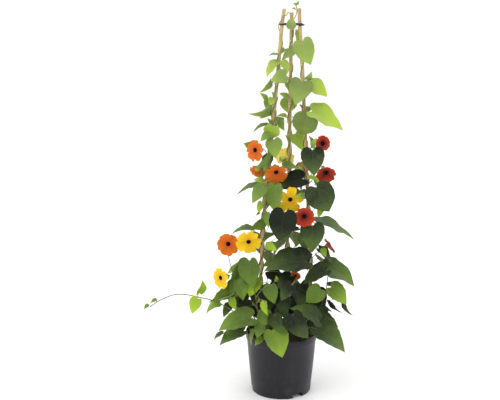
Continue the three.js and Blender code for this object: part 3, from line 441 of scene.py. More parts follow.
# %% Crumbs on the soil
def scatter(count, reach, sizes, seed):
    """Copies of one crumb on the soil's top, each turned and stretched in its own way."""
    bpy.ops.mesh.primitive_ico_sphere_add(subdivisions=1, radius=1)
    crumb = bpy.context.object
    copies = []
    for number in range(count):
        pick = [fraction(seed + number * 7.31 + k) for k in range(7)]
        distance = reach * math.sqrt(pick[0])
        bearing = 2 * math.pi * pick[1]
        size = sizes[0] + (sizes[1] - sizes[0]) * pick[2] ** 2
        place = Vector((distance * math.cos(bearing), distance * math.sin(bearing), SOIL_TOP))
        turn = Matrix.Rotation(6.3 * pick[3], 3, "Z") @ Matrix.Rotation(6.3 * pick[4], 3, "X")
        stretch = Vector((1, 0.5 + 0.5 * pick[5], 0.35 + 0.4 * pick[6])) * size
        mesh = crumb.data.copy()
        mesh.transform(Matrix.LocRotScale(place * MM, turn, stretch * MM))
        copies.append(new_piece("crumb", mesh))
    bpy.data.objects.remove(crumb)
    return join(copies)


def peat(place):
    lumps = speckle(place, 320, 4, 0.6)
    fibres = smooth(speckle(stretched(place, 1, 3, 1), 700, 3, 0.7), 0.58, 0.7)
    damp = smooth(speckle(place, 40), 0.4, 0.65)
    dark = blend(lumps, (22, 16, 12), (66, 50, 38))
    colour = blend(0.5 * fibres * damp, dark, (112, 88, 62))
    return {"Base Color": colour, "Roughness": 0.98 - 0.3 * damp * lumps, "Normal": bump(lumps, 0.0012, 0.8)}


def perlite(place):
    pores = speckle(place, 1500, 3, 0.7)
    colour = blend(pores, (196, 190, 178), (236, 233, 226))
    return {"Base Color": colour, "Roughness": 0.8 + 0.15 * pores, "Normal": bump(pores, 0.0004)}


peat_finish = make_finish("moist_peat", peat, {"Specular IOR Level": 0.3})
crumbs = scatter(300, 62, (1.0, 3.2), 5)
grains = scatter(26, 60, (0.8, 1.7), 900)
soil.data.materials.append(peat_finish)
crumbs.data.materials.append(peat_finish)
grains.data.materials.append(make_finish("perlite", perlite, {}))
hand_over(join([soil, crumbs, grains]), "potting_soil", "soil", sharp=60)

# %% [markdown]
# ## The bamboo canes
# A cane is a thin hollow stem with a ring every dozen centimetres, where a leaf sheath grew. Each cane
# here bows a little on its way up to the strap. A disc is extruded from station to station along the
# cane's line, with extra stations close together at each ring to draw its groove and ridge, and the
# sawn top is inset and pushed down to open the hollow.
# %% Canes
# Each cane's line from its foot in the soil up: across, deep and high, in mm.
CANES = {
    "left": [(-47, -28, 50), (-46, -27, 110), (-43, -25, 200), (-38.4, -20, 313), (-31, -16, 424),
             (-20.5, -12, 520), (-10.7, -9, 627), (-3.3, -6, 720), (1, -4, 748)],
    "right": [(56, -8, 50), (57.5, -8, 110), (57, -8, 180), (55, -8, 250), (49, -7, 380), (42, -6.5, 517),
              (35.5, -6, 636), (30, -5, 715), (28.3, -4.5, 749)],
    "back": [(11, 51, 50), (11, 49, 110), (12, 38, 300), (13.5, 28, 458), (14, 18, 600), (15, 9, 720),
             (15.1, 8, 741)],
}
CANE_RADIUS = 3.4
CANE_SIDES = 20
STATION_SPACING = 12
RING_SPACING = 118
# Plain stations keep this far from a ring, and a ring's colours reach this far, in mm.
RING_CLEARANCE, RING_STAIN = 8, 6
# Height over a ring's middle and how far the cane is thicker there, in mm.
RING_SHAPE = [(-3.4, 0), (-1.5, 0.1), (-0.7, 0.5), (-0.2, 0.15), (0.2, 0.2), (0.7, 0.6), (1.6, 0.2), (4, 0)]


def cane_at(cane, height):
    rows = CANES[cane]
    step = next((i for i in range(len(rows) - 2) if rows[i + 1][2] >= height), len(rows) - 2)
    low, high = Vector(rows[step]), Vector(rows[step + 1])
    return low.lerp(high, (height - low.z) / (high.z - low.z))


def make_cane(cane, first_ring):
    """A cane with its rings, the first of them some way above the soil, and an open top."""
    foot, top = CANES[cane][0][2], CANES[cane][-1][2]
    rings = np.arange(SOIL_TOP + first_ring, top - 20, RING_SPACING).tolist()

    def off_ring(height):
        return min(abs(height - ring) for ring in rings)

    heights = np.arange(foot, top, STATION_SPACING).tolist()
    stations = [(height, CANE_RADIUS) for height in heights if off_ring(height) > RING_CLEARANCE]
    stations += [(ring + up, CANE_RADIUS + out) for ring in rings for up, out in RING_SHAPE]
    stations = sorted(stations) + [(top - 0.5, CANE_RADIUS), (top, CANE_RADIUS - 0.3)]
    draw_up([(cane_at(cane, height), radius) for height, radius in stations], CANE_SIDES)
    bpy.ops.mesh.inset(thickness=1.6 * MM)
    extrude((0, 0, -7))
    piece = close_up()
    stains = [max(0, 1 - off_ring(v.co.z / MM) / RING_STAIN) for v in piece.data.vertices]
    store(piece.data, "joint", stains)
    return piece


# %% [markdown]
# Dry bamboo is straw coloured, with long fine streaks, brown stains and a dark line with a pale waxy
# edge at each ring. The streaks are noise drawn out along the cane. The ring's colours read an
# attribute that was written on the mesh, so they follow each ring exactly.
# %% Bamboo
def bamboo(place):
    near = stored(place, "joint")
    streaks = speckle(stretched(place, 1, 1, 0.03), 1500, 3, 0.6)
    stains = smooth(speckle(stretched(place, 1, 1, 0.25), 110, 4, 0.65), 0.52, 0.72)
    straw = blend(streaks, (160, 132, 80), (208, 184, 130))
    aged = blend(0.55 * stains, straw, (128, 98, 60))
    waxy = blend(0.5 * smooth(near, 0.25, 0.6), aged, (226, 212, 172))
    colour = blend(0.85 * smooth(near, 0.9, 0.97), waxy, (92, 66, 40))
    gloss = 0.42 + 0.15 * stains + 0.1 * streaks
    return {"Base Color": colour, "Roughness": gloss, "Normal": bump(streaks, 0.00012, 0.6)}


bamboo_finish = make_finish("bamboo", bamboo, {"Specular IOR Level": 0.4})
for number, cane in enumerate(CANES):
    piece = make_cane(cane, 30 + 37 * number)
    hand_over(piece, f"bamboo_{cane}", f"cane_{cane}", bamboo_finish, 40)

# %% [markdown]
# ## The strap round the canes
# A black nylon cable strap holds the three tops together: a thin band, a square head with a slot and a
# tail that sticks out past the head. The band's line is the outline of the three canes with rounded
# corners. A circle is drawn with as many corners as that outline and each corner is moved onto it; the
# ring is then extruded up to the strap's width and given its thickness.
# %% Strap
STRAP_HEIGHT = 720
STRAP_WIDTH = 3.2
STRAP_THICKNESS = 1.1
STRAP_REACH = CANE_RADIUS + 1.2
CORNER_STEPS = 8


def strap_outline():
    """The line round all three canes at the strap, as points across and deep in mm."""
    middles = [cane_at(cane, STRAP_HEIGHT) for cane in ("left", "right", "back")]
    line = []
    for i, middle in enumerate(middles):
        before, after = middles[i - 1], middles[(i + 1) % 3]
        first = math.atan2(middle.y - before.y, middle.x - before.x) - math.pi / 2
        last = math.atan2(after.y - middle.y, after.x - middle.x) - math.pi / 2
        while last < first:
            last += 2 * math.pi
        for k in range(CORNER_STEPS + 1):
            turn = first + (last - first) * k / CORNER_STEPS
            line.append((middle.x + STRAP_REACH * math.cos(turn), middle.y + STRAP_REACH * math.sin(turn)))
    return line


line = strap_outline()
strap_bottom = (STRAP_HEIGHT - STRAP_WIDTH / 2) * MM
bpy.ops.mesh.primitive_circle_add(vertices=len(line), radius=MM, location=(0, 0, strap_bottom))
for vertex, (x, y) in zip(bpy.context.object.data.vertices, line):
    vertex.co = (x * MM, y * MM, 0)
edit_all()
extrude((0, 0, STRAP_WIDTH))
strap = close_up()
modify(strap, "SOLIDIFY", thickness=STRAP_THICKNESS * MM, offset=0)
round_edges(strap, 0.25, 2)

# %% Strap head and tail
HEAD_SIZE = (5.2, 3.4, 5)
# From the right cane's middle to the middles of the head and the tail.
TO_HEAD = Vector((1.5, -6.35, 0))
TO_TAIL = Vector((4.6, -6.4, -0.3))
TAIL_LENGTH, TAIL_WIDTH, TAIL_THICKNESS = 7.4, 3, 0.8
TAIL_STEPS, TOOTHED_STEPS = 16, 13

cane_middle = cane_at("right", STRAP_HEIGHT)
head = box(HEAD_SIZE, cane_middle + TO_HEAD)
edit_faces(head, lambda face: abs(face.normal.x) > 0.9)
bpy.ops.mesh.inset(thickness=0.7 * MM, use_individual=True)
bpy.ops.mesh.extrude_faces_move(TRANSFORM_OT_shrink_fatten={"value": -0.9 * MM})
bpy.ops.object.mode_set(mode="OBJECT")
round_edges(head, 0.35, 3)


def is_slot(face):
    """Whether a face of the tail's back is one of those between its teeth, which are pushed in."""
    step = round((face.center.x / MM / TAIL_LENGTH + 0.5) * TAIL_STEPS - 0.5)
    return face.normal.z < -0.9 and step % 2 == 0 and step < TOOTHED_STEPS


bpy.ops.mesh.primitive_grid_add(x_subdivisions=TAIL_STEPS, y_subdivisions=1, size=1)
bpy.context.object.scale = (TAIL_LENGTH * MM, TAIL_WIDTH * MM, 1)
bpy.ops.object.transform_apply()
edit_all()
extrude((0, 0, TAIL_THICKNESS))
tail = close_up()
edit_faces(tail, is_slot)
extrude((0, 0, -0.3))
bpy.ops.object.mode_set(mode="OBJECT")
for vertex in tail.data.vertices:
    past = vertex.co.x / MM - (TAIL_LENGTH / 2 - 1.6)
    if past > 0:
        vertex.co.y *= 1 - 0.25 * past
turn = Matrix.Rotation(math.radians(7), 4, "Y") @ Matrix.Rotation(math.radians(-90), 4, "X")
tail.data.transform(Matrix.Translation((cane_middle + TO_TAIL) * MM) @ turn)


def black_nylon(place):
    frost = speckle(place, 2200, 3, 0.6)
    wear = smooth(speckle(place, 500, 3), 0.6, 0.7)
    colour = blend(0.3 * wear + 0.1 * frost, (20, 20, 22), (96, 95, 98))
    return {"Base Color": colour, "Roughness": 0.4 + 0.25 * frost, "Normal": bump(frost, 0.00004)}


nylon_finish = make_finish("black_nylon", black_nylon, {})
hand_over(join([strap, head, tail]), "cane_strap", "cane_tie", nylon_finish)

# %% [markdown]
# ## One leaf blade
# The leaves are arrow shaped: two rounded lobes at the base, a corner at the widest place and a long
# point, with a few shallow teeth. A leaf could be cut from a plane, but then its grid would not follow
# its shape. Here a plain grid is pulled into place: its middle column becomes the midrib, its sides
# become the outline, and the rows fan out between them as the veins do. Each blade is stored flat, as
# shares of its width and length, so one blade serves for every size and bend of leaf.
# %% Flat blades
def smooth_line(points, steps):
    """A rounded line through all points, as Vectors, with each stretch split into equal steps."""
    points = [Vector(p) for p in points]
    line = [points[0]]
    for i in range(len(points) - 1):
        b, c = points[i], points[i + 1]
        a = points[i - 1] if i else b
        d = points[i + 2] if i + 2 < len(points) else c
        for k in range(1, steps + 1):
            t = k / steps
            line.append(0.5 * ((-t + 2 * t * t - t ** 3) * a + (2 - 5 * t * t + 3 * t ** 3) * b
                               + (t + 4 * t * t - 3 * t ** 3) * c + (t ** 3 - t * t) * d))
    return line


def point_along(line, share):
    """The point at a share of a line's length."""
    steps = [(b - a).length for a, b in zip(line, line[1:])]
    left = share * sum(steps)
    for a, b, step in zip(line, line[1:], steps):
        if left <= step:
            return a.lerp(b, left / step)
        left -= step
    return line[-1].copy()


# How many teeth stand along each side of a blade.
TEETH = 6.5
# For each kind of blade: its outline's right half, rows, columns and how large its teeth are.
BLADE_OUTLINES = {
    "big": ([(0.15, -0.14), (0.36, -0.12), (0.48, 0.05), (0.5, 0.25), (0.42, 0.5), (0.23, 0.76)],
            24, 7, 0.035),
    "small": ([(0.26, -0.13), (0.5, 0.18), (0.34, 0.6)], 16, 5, 0.035),
    "tiny": ([(0.34, -0.06), (0.46, 0.34)], 12, 4, 0.02),
    "bud": ([(0.44, 0.2)], 8, 3, 0),
    "bract": ([(0.4, 0.3), (0.46, 0.62)], 10, 4, 0),
}
# Over what length in mm a leaf takes each kind of blade.
LEAST_LENGTHS = {"big": 38, "small": 19, "tiny": 12, "bud": 0}


def flat_blade(half, rows, columns, teeth):
    """A blade as (share of width, share of length, face): the outline's right half goes base to tip."""
    edge = smooth_line([(0.012, 0), *half, (0, 1)], 8)
    bpy.ops.mesh.primitive_grid_add(x_subdivisions=2 * columns, y_subdivisions=rows, size=1)
    blade = bpy.context.object
    for vertex in blade.data.vertices:
        across, along = 2 * vertex.co.x, vertex.co.y + 0.5
        rim = point_along(edge, along)
        tooth = teeth * max(0, math.sin(2 * math.pi * TEETH * along)) * min(1, 4 * along * (1 - along))
        reach = abs(across)
        vertex.co.x = math.copysign(rim.x * (1 + tooth) * reach, across)
        vertex.co.y = along ** 1.6 * (1 - reach) + rim.y * reach
    edit_all()
    bpy.ops.mesh.remove_doubles(threshold=1e-5)
    bpy.ops.object.mode_set(mode="OBJECT")
    modify(blade, "SOLIDIFY", thickness=2, offset=0)
    return blade


blades = {kind: flat_blade(*outline) for kind, outline in BLADE_OUTLINES.items()}
print("blades", {kind: len(blade.data.polygons) for kind, blade in blades.items()})

# %% [markdown]
# ## Bending a blade
# A real blade arches from base to tip, folds a little along its midrib and waves at its edge. Each of
# these is one term of a height over the straight line from base to tip, with amounts that differ from
# leaf to leaf. A blade that looks narrower from the front than it is long has turned about its midrib;
# one that looks wider than long leans towards or away from the room.
# %% Bend a blade
# Width over length of a blade that is seen straight on, and its thickness in mm.
BLADE_RATIO = 0.9
BLADE_THICKNESS = 0.36
# How far a blade may turn about its midrib, in radians.
MOST_ROLL = 1.36


class Leaf:
    """A blade's place: base, tip, width seen from the front, the way it faces and the side it turns to."""

    def __init__(self, key, base, tip, width, face, side):
        self.base = Vector(base)
        along = Vector(tip) - self.base
        self.length = along.length
        roll = 0
        if width > BLADE_RATIO * self.length:
            lean = math.sqrt((width / BLADE_RATIO) ** 2 - self.length ** 2)
            away = (self.base - VIEWER).normalized()
            along += away * side * min(lean, self.length * 1.5)
            self.length = along.length
        else:
            roll = side * min(math.acos(width / (BLADE_RATIO * self.length)), MOST_ROLL)
        self.along = along.normalized()
        self.face = (face - self.along * face.dot(self.along)).normalized()
        self.face.rotate(Quaternion(self.along, roll))
        self.across = self.along.cross(self.face)
        self.ratio = BLADE_RATIO
        self.arch = 0.05 + 0.06 * fraction(key)
        self.fold = 0.12 + 0.16 * fraction(key + 0.5)
        self.wave = 0.1 * fraction(key + 0.25)
        self.phase = 6.3 * fraction(key + 0.75)
        self.ripple = 0.014

    def kind(self):
        return next(kind for kind, least in LEAST_LENGTHS.items() if self.length > least)

    def places(self, flat):
        """Where the points of a flat blade lie, in mm. flat holds width and length shares and the face."""
        u, v, w = flat.T
        out = np.abs(u)
        height = self.arch * 4 * v * (1 - v) * np.where(v > 0, 1, 0.35) + self.fold * out
        height = height + self.wave * out * np.sin(9 * v + self.phase + np.where(u > 0, 1.3, 0))
        ripples = np.sin(24 * v + 3 * self.phase + np.where(u > 0, 2, 0))
        height = height + self.ripple * (2 * out) ** 3 * ripples
        return (np.array(self.base) + np.outer(v * self.length, self.along)
                + np.outer(u * self.length * self.ratio, self.across)
                + np.outer(height * self.length + w * BLADE_THICKNESS / 2, self.face))


def flat_copy(template, name):
    """A copy of a flat mesh, with its flat places stored on it under a name, and those places."""
    mesh = template.data.copy()
    flat = np.empty(len(mesh.vertices) * 3, np.float32)
    mesh.vertices.foreach_get("co", flat)
    store(mesh, name, flat, "FLOAT_VECTOR", "vector")
    return mesh, flat.reshape(-1, 3)


def write_tone(mesh, tone, woody=0):
    """Stores a piece's own colour number on each of its points, and how woody it is."""
    for name, value in (("tone", tone), ("woody", woody)):
        store(mesh, name, np.full(len(mesh.vertices), value, np.float32))


def blade_piece(kind, leaf, tone):
    """A bent copy of a flat blade, with its flat place kept on it for the veins."""
    mesh, flat = flat_copy(blades[kind], "blade")
    mesh.vertices.foreach_set("co", (leaf.places(flat) * MM).astype(np.float32).ravel())
    write_tone(mesh, tone)
    return new_piece("blade", mesh)


# %% [markdown]
# ## Stems and stalks
# Stems and stalks are round, thin and smoothly bent, which is what a curve with a round bevel draws.
# The climbing stems wind to the right round their canes, about one turn in every 65 mm, as this plant
# always does. A stalk leaves its stem with a small swelling, bows upward and runs on under the blade
# as a midrib that thins out towards the tip.
# %% Lines
LONG_STALK = 22
# How thick a stalk is from its foot to its end and on as a midrib, as shares of its own thickness.
STALK_SHARES = (1.7, 1.15, 0.95, 1, 0.8, 0.5, 0.32, 0.2)
MIDRIB_PLACES = (0.02, 0.3, 0.6, 0.85)


def draw_line(points, radii, tone, woody=0, steps=4):
    """A smooth round line through points, in mm, with a radius at each."""
    line = smooth_line([(*point, radius) for point, radius in zip(points, radii)], steps)
    curve = bpy.data.curves.new("line", "CURVE")
    curve.dimensions = "3D"
    curve.bevel_depth = MM
    curve.bevel_resolution = 2
    curve.use_fill_caps = True
    spline = curve.splines.new("POLY")
    spline.points.add(len(line) - 1)
    for spot, (x, y, z, radius) in zip(spline.points, line):
        spot.co = (x * MM, y * MM, z * MM, 1)
        spot.radius = radius
    piece = new_piece("line", curve)
    piece["tone"] = tone
    piece["woody"] = woody
    return piece


def lines_to_meshes(lines):
    """Turns the drawn curves into closed tubes, with their colour numbers."""
    select(lines)
    bpy.ops.object.convert(target="MESH")
    for piece in lines:
        write_tone(piece.data, piece["tone"], piece["woody"])
    return lines


def long_bow(key, span):
    """How far a long stalk bows up over the straight line between its ends."""
    return span * (0.08 + 0.12 * fraction(key))


def stalk_line(key, leaf, start, tone):
    """The stalk from the stem to the blade's base, and the midrib that it runs on as."""
    close = leaf.base - leaf.along * 1.6 - leaf.face * 0.5
    span = (close - start).length
    bow = long_bow(key, span) if span > LONG_STALK else 0.05 * span
    middle = start.lerp(close, 0.5) + Vector((0, 0, bow))
    foot = start.lerp(middle, min(0.5, 2.2 / max(span, 3)))
    thick = 0.52 if leaf.length > 14 else 0.42
    ribs = np.array([(0, along, 0) for along in MIDRIB_PLACES], float)
    under = [Vector(place) - leaf.face * 0.16 for place in leaf.places(ribs)]
    points = [start, foot, middle, close, *under]
    return draw_line(points, [thick * share for share in STALK_SHARES], tone)


# %% [markdown]
# ## Where everything grows
# The plant was laid out on a front view sheet, 500 across and 400 down, as a person standing two
# metres in front sees it. Every leaf, bloom and tip has a place on that sheet and a depth behind or in
# front of the pot's middle. A line of sight turns the two into a place in the room.
# %% The front view sheet
VIEW_FOCAL = 1073
SHEET_MIDDLE = (250, 200)


def sightline(across, down, depth):
    """The place in mm that is seen at a point of the sheet, at a depth: its y."""
    right = (across - SHEET_MIDDLE[0]) / VIEW_FOCAL
    drop = (down - SHEET_MIDDLE[1]) / VIEW_FOCAL
    forward = math.cos(VIEW_TILT) - drop * math.sin(VIEW_TILT)
    rise = -math.sin(VIEW_TILT) - drop * math.cos(VIEW_TILT)
    reach = (depth - VIEWER.y) / forward
    return Vector((VIEWER.x + right * reach, depth, VIEWER.z + rise * reach))


# %% Stem paths
# Cane, bearing at the strap in degrees, top in mm, and the free tip's points on the sheet.
CLIMBERS = {
    "vine_left_1": ("left", 200, 741, [(286.4, 15.5, -7), (288, 12.4, -8), (290.5, 14.3, -8)]),
    "vine_left_2": ("left", 20, 590, []),
    "vine_right_1": ("right", -20, 690, []),
    "vine_right_2": ("right", 160, 505, []),
    "vine_back_1": ("back", 90, 724, [(294, 19, 14), (296.4, 14, 8), (297.3, 10.5, 6), (296, 5, 6)]),
    "vine_back_2": ("back", 270, 540, []),
}
STEM_FOOT = 99
# How much further from its cane a stem's foot stands, and over what height that fades, in mm.
FOOT_SPREAD = {"left": 1, "right": 0, "back": 4.5}
FOOT_FADE = 55
# How much further out a stem passes the strap, and how far up and down that fades, in mm.
STRAP_ROOM, STRAP_FADE = 2.4, 16
# The height of one turn round a cane, in mm.
TWIST = 65
# How far a stem's middle is from its cane's, in the solids and here, where it hugs the cane.
STEM_REACH = CANE_RADIUS + 2.9
HUG_REACH = CANE_RADIUS + 1.3
# The other stems' lines from the soil on: across, deep and high, in mm.
SHOOTS = {
    "shoot_left": [(-32, -4, 99), (-40, -8, 122), (-61, -20, 170), (-80, -24, 213), (-98, -24, 258),
                   (-104, -20, 285)],
    "shoot_front_left": [(-22, -46, 99), (-30, -56, 130), (-44, -64, 172), (-52, -62, 215), (-56, -58, 240)],
    "shoot_front": [(6, -46, 99), (8, -58, 130), (11, -64, 175), (15, -56, 215), (20, -46, 250)],
    "shoot_front_right": [(36, -40, 99), (42, -54, 135), (48, -60, 180), (54, -50, 225), (60, -42, 262)],
    "shoot_right": [(50, 16, 99), (62, 4, 130), (76, -10, 172), (86, -18, 215), (90, -20, 262)],
    "shoot_back": [(-14, 42, 99), (-22, 58, 140), (-28, 66, 190), (-24, 66, 240)],
    "runner_left": [(-38, -42, 99), (-41, -46, 121), (-53, -58, 135), (-84, -60, 174), (-118, -56, 196),
                    (-133, -54, 202), (-156, -52, 207), (-182, -50, 212), (-199, -50, 213), (-214, -50, 210),
                    (-236, -50, 200), (-254, -50, 187)],
}


def stem_path(vine, steps=6, reach=STEM_REACH):
    """A stem's middle line in mm: a winding line, steps to a turn, round its cane, or a free shoot's way."""
    if vine in SHOOTS:
        return smooth_line(SHOOTS[vine], 1 if vine == "runner_left" else 2)
    cane, turn, top, tip = CLIMBERS[vine]
    path = []
    for height in np.arange(STEM_FOOT, top, TWIST / steps).tolist():
        bearing = math.radians(turn + 360 * (height - STRAP_HEIGHT) / TWIST)
        risen = height - STEM_FOOT
        foot = FOOT_SPREAD[cane] * max(0, 1 - risen / FOOT_FADE)
        past_strap = STRAP_ROOM * max(0, 1 - abs(height - STRAP_HEIGHT) / STRAP_FADE)
        out = reach + foot + past_strap - 0.5 * risen / 640
        path.append(cane_at(cane, height) + out * Vector((math.cos(bearing), math.sin(bearing), 0)))
    return path + [sightline(*point) for point in tip]


def nearest_on(path, target):
    """The best place on a stem for a stalk that goes to target: near it, and rather below than above."""
    best, least = None, math.inf
    for low, high in zip(path, path[1:]):
        for share in (0.3, 0.7):
            place = low.lerp(high, share)
            cost = (place - target).length + 1.5 * max(0, place.z - target.z)
            if place.z > SOIL_TOP + 3 and cost < least:
                best, least = place, cost
    return best


stems = {vine: stem_path(vine) for vine in (*CLIMBERS, *SHOOTS)}
slim_stems = {vine: smooth_line(stem_path(vine, 10, HUG_REACH), 4) for vine in stems}


def onto_stem(vine, start):
    """The place on the finer stem, which hugs its cane, that is nearest to a place on the plain one."""
    return min(slim_stems[vine], key=lambda place: (place - start).length)


def stem_line(vine):
    path = slim_stems[vine]
    foot, tip = (1.1, 0.85) if vine == "runner_left" else (1.25, 0.7)
    radii = [foot + (tip - foot) * i / (len(path) - 1) for i in range(len(path))]
    return draw_line(path, radii, 0.5, 1, steps=1)


# %% [markdown]
# The solids were grown from the same sheet, and where two things would have met, one was moved a few
# millimetres nearer or further or turned the other way. Each way is tried here in the same order, and
# the one whose tip falls on a corner of the vine's solid is the one that was taken. A stalk is told in
# much the same way: the one that was taken lies nearest to the solid's skin, about a third of its way
# from either end.
# %% Find each piece in the solids
# How far a leaf or bloom was moved in depth, and how far under a leaf its stalk starts, in mm.
SHIFTS = (0, -4, -9, 4, -15, 9, -22, 15, -30, 22, -40, 30, 40)
STALK_DROPS = (6, 26, -10, 42, 14)
# Half the thickness of a leaf in the solids, in mm.
SOLID_LEAF_HALF = 0.35


class Solid:
    """A node of the measured model, to ask whether it has a corner or its skin at a place in mm."""

    def __init__(self, node):
        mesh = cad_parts[node].data
        self.corners = KDTree(len(mesh.vertices))
        for vertex in mesh.vertices:
            self.corners.insert(vertex.co, vertex.index)
        self.corners.balance()
        self.skin = BVHTree.FromPolygons([v.co for v in mesh.vertices], [p.vertices for p in mesh.polygons])

    def has_corner(self, place):
        return self.corners.find(place * MM)[2] < 0.06 * MM

    def depth_off(self, place):
        return self.skin.find_nearest(place * MM)[3] / MM


solids = {vine: Solid(vine) for vine in stems}


def taken(vine, leaf):
    """Whether this way of placing a leaf is the one in the solid."""
    tip = leaf.base + leaf.along * leaf.length
    corners = (tip + leaf.face * SOLID_LEAF_HALF, tip - leaf.face * SOLID_LEAF_HALF)
    return any(solids[vine].has_corner(corner) for corner in corners)


def stalk_start(vine, leaf, key):
    """Where the leaf's stalk leaves the stem in the solid."""
    close = leaf.base - leaf.along * 1.1 - leaf.face * 0.5
    choices = []
    for drop in STALK_DROPS:
        start = nearest_on(stems[vine], leaf.base - Vector((0, 0, drop)))
        span = (close - start).length
        middle = close.lerp(start, 0.5)
        if span > LONG_STALK:
            middle.z += long_bow(key, span)
        off = sum(solids[vine].depth_off(end.lerp(middle, 0.7)) for end in (close, start))
        choices.append((off, start))
    return min(choices, key=lambda choice: choice[0])[1]


# %% [markdown]
# ## Leaf and stem finishes
# Young leaves near the top are bright yellow-green and old ones low down are a deep bluish green, so
# each leaf carries a tone number that picks its colour. The lowest tones are also painted shade: leaves
# deep inside the foliage, where shade falls, get a near black tone. Each blade is painted darker at its
# base and lighter towards its tip, painted light where it bends out into the light. Pale veins spread
# like fingers from the base, with finer ones off the midrib; the skin between them is quilted, softly
# downy and paler underneath.
# Leaves high up, unless their tone is dark, are blended a shade paler and greyer.
# The veins are drawn from the blade's flat place, so they bend and shrink with each leaf.
# %% Leaf finish
# The darkest stops are painted shade: leaves deep inside the foliage, where shade falls, take them.
LEAF_TONES = [
    (0, (20, 27, 14)), (0.15, (54, 69, 35)), (0.4, (88, 112, 44)), (0.62, (113, 141, 49)),
    (0.82, (141, 170, 47)), (1, (158, 188, 34)),
]


def leaf_skin(place):
    tone = stored(place, "tone")
    blade = stored(place, "blade", "Vector")
    across, along, side = split(blade, ("X", "Y", "Z"))
    out = abs(across) * BLADE_RATIO
    reach = (out * out + along * along) ** 0.5
    angle = out.math("ARCTAN2", out, along)

    def finger(at_base, bend, width):
        """A vein that leaves the base at an angle and bends towards the tip."""
        off = abs(angle - (at_base - bend * reach)) * reach
        return smooth(off, width, width * 0.35) * smooth(reach, 0.8, 0.5)

    midrib = smooth(out - 0.016 * (1 - along), 0.008, 0.0)
    fingers = finger(0.86, 0.55, 0.012) + finger(1.52, 0.4, 0.012) + finger(2.1, 0.4, 0.01)
    slant = along * 8 - out * 7
    feather = abs(slant.math("FRACT", slant) - 0.5)
    branches = smooth(feather, 0.07, 0.02) * smooth(out, 0.34, 0.1)
    lines = midrib + fingers + 0.45 * branches
    veins = lines.math("MINIMUM", lines, 1)
    sockets = {"Vector": blade, "Scale": 22}
    quilt = smooth(blade.node("ShaderNodeTexVoronoi", sockets, feature="DISTANCE_TO_EDGE"), 0.0, 0.25)
    patches = speckle(place, 70, 3)
    under = smooth(side, 0.2, -0.2)
    # The along term is painted light: each blade gets darker at its base and lighter towards its tip.
    shade = tone + 0.2 * (patches - 0.5) + 0.05 * (quilt - 0.5) + 0.23 * smooth(along, 0.1, 0.95) - 0.1
    with_veins = blend((0.015 + 0.11 * tone) * veins, ramp(shade, LEAF_TONES), (176, 196, 112))
    # Leaves high up, unless their tone is dark, are blended paler and greyer.
    high_and_young = smooth(split(place, "Z"), 0.3, 0.7) * smooth(tone, 0.05, 0.45)
    paler_up_high = blend(0.2 * high_and_young, with_veins, (188, 196, 132))
    colour = blend(0.36 * under, paler_up_high, (140, 160, 92))
    relief = (quilt * 0.5 + patches * 0.3 - veins * 0.6) * (1 - 2 * under)
    gloss = 0.54 + 0.14 * patches + 0.18 * under
    return {"Base Color": colour, "Roughness": gloss, "Normal": bump(relief, 0.00035, 0.7)}


def stem_skin(place):
    patches = speckle(place, 90, 3)
    down = speckle(place, 2400, 2)
    age = stored(place, "woody") * smooth(split(place, "Z"), 0.72, 0.2) + 0.3 * (patches - 0.5)
    fresh = blend(stored(place, "tone"), (56, 72, 30), (150, 168, 66))
    colour = blend(0.8 * age, fresh, (84, 62, 40))
    return {"Base Color": colour, "Roughness": 0.5 + 0.2 * down, "Normal": bump(down, 0.00012, 0.5)}


leaf_finish = make_finish(
    "vine_leaf", leaf_skin, {"Specular IOR Level": 0.17, "Sheen Weight": 0.03, "Sheen Roughness": 0.5})
stem_finish = make_finish("vine_stem", stem_skin, {"Specular IOR Level": 0.35, "Sheen Weight": 0.15})
print("leaf tones", len(LEAF_TONES))

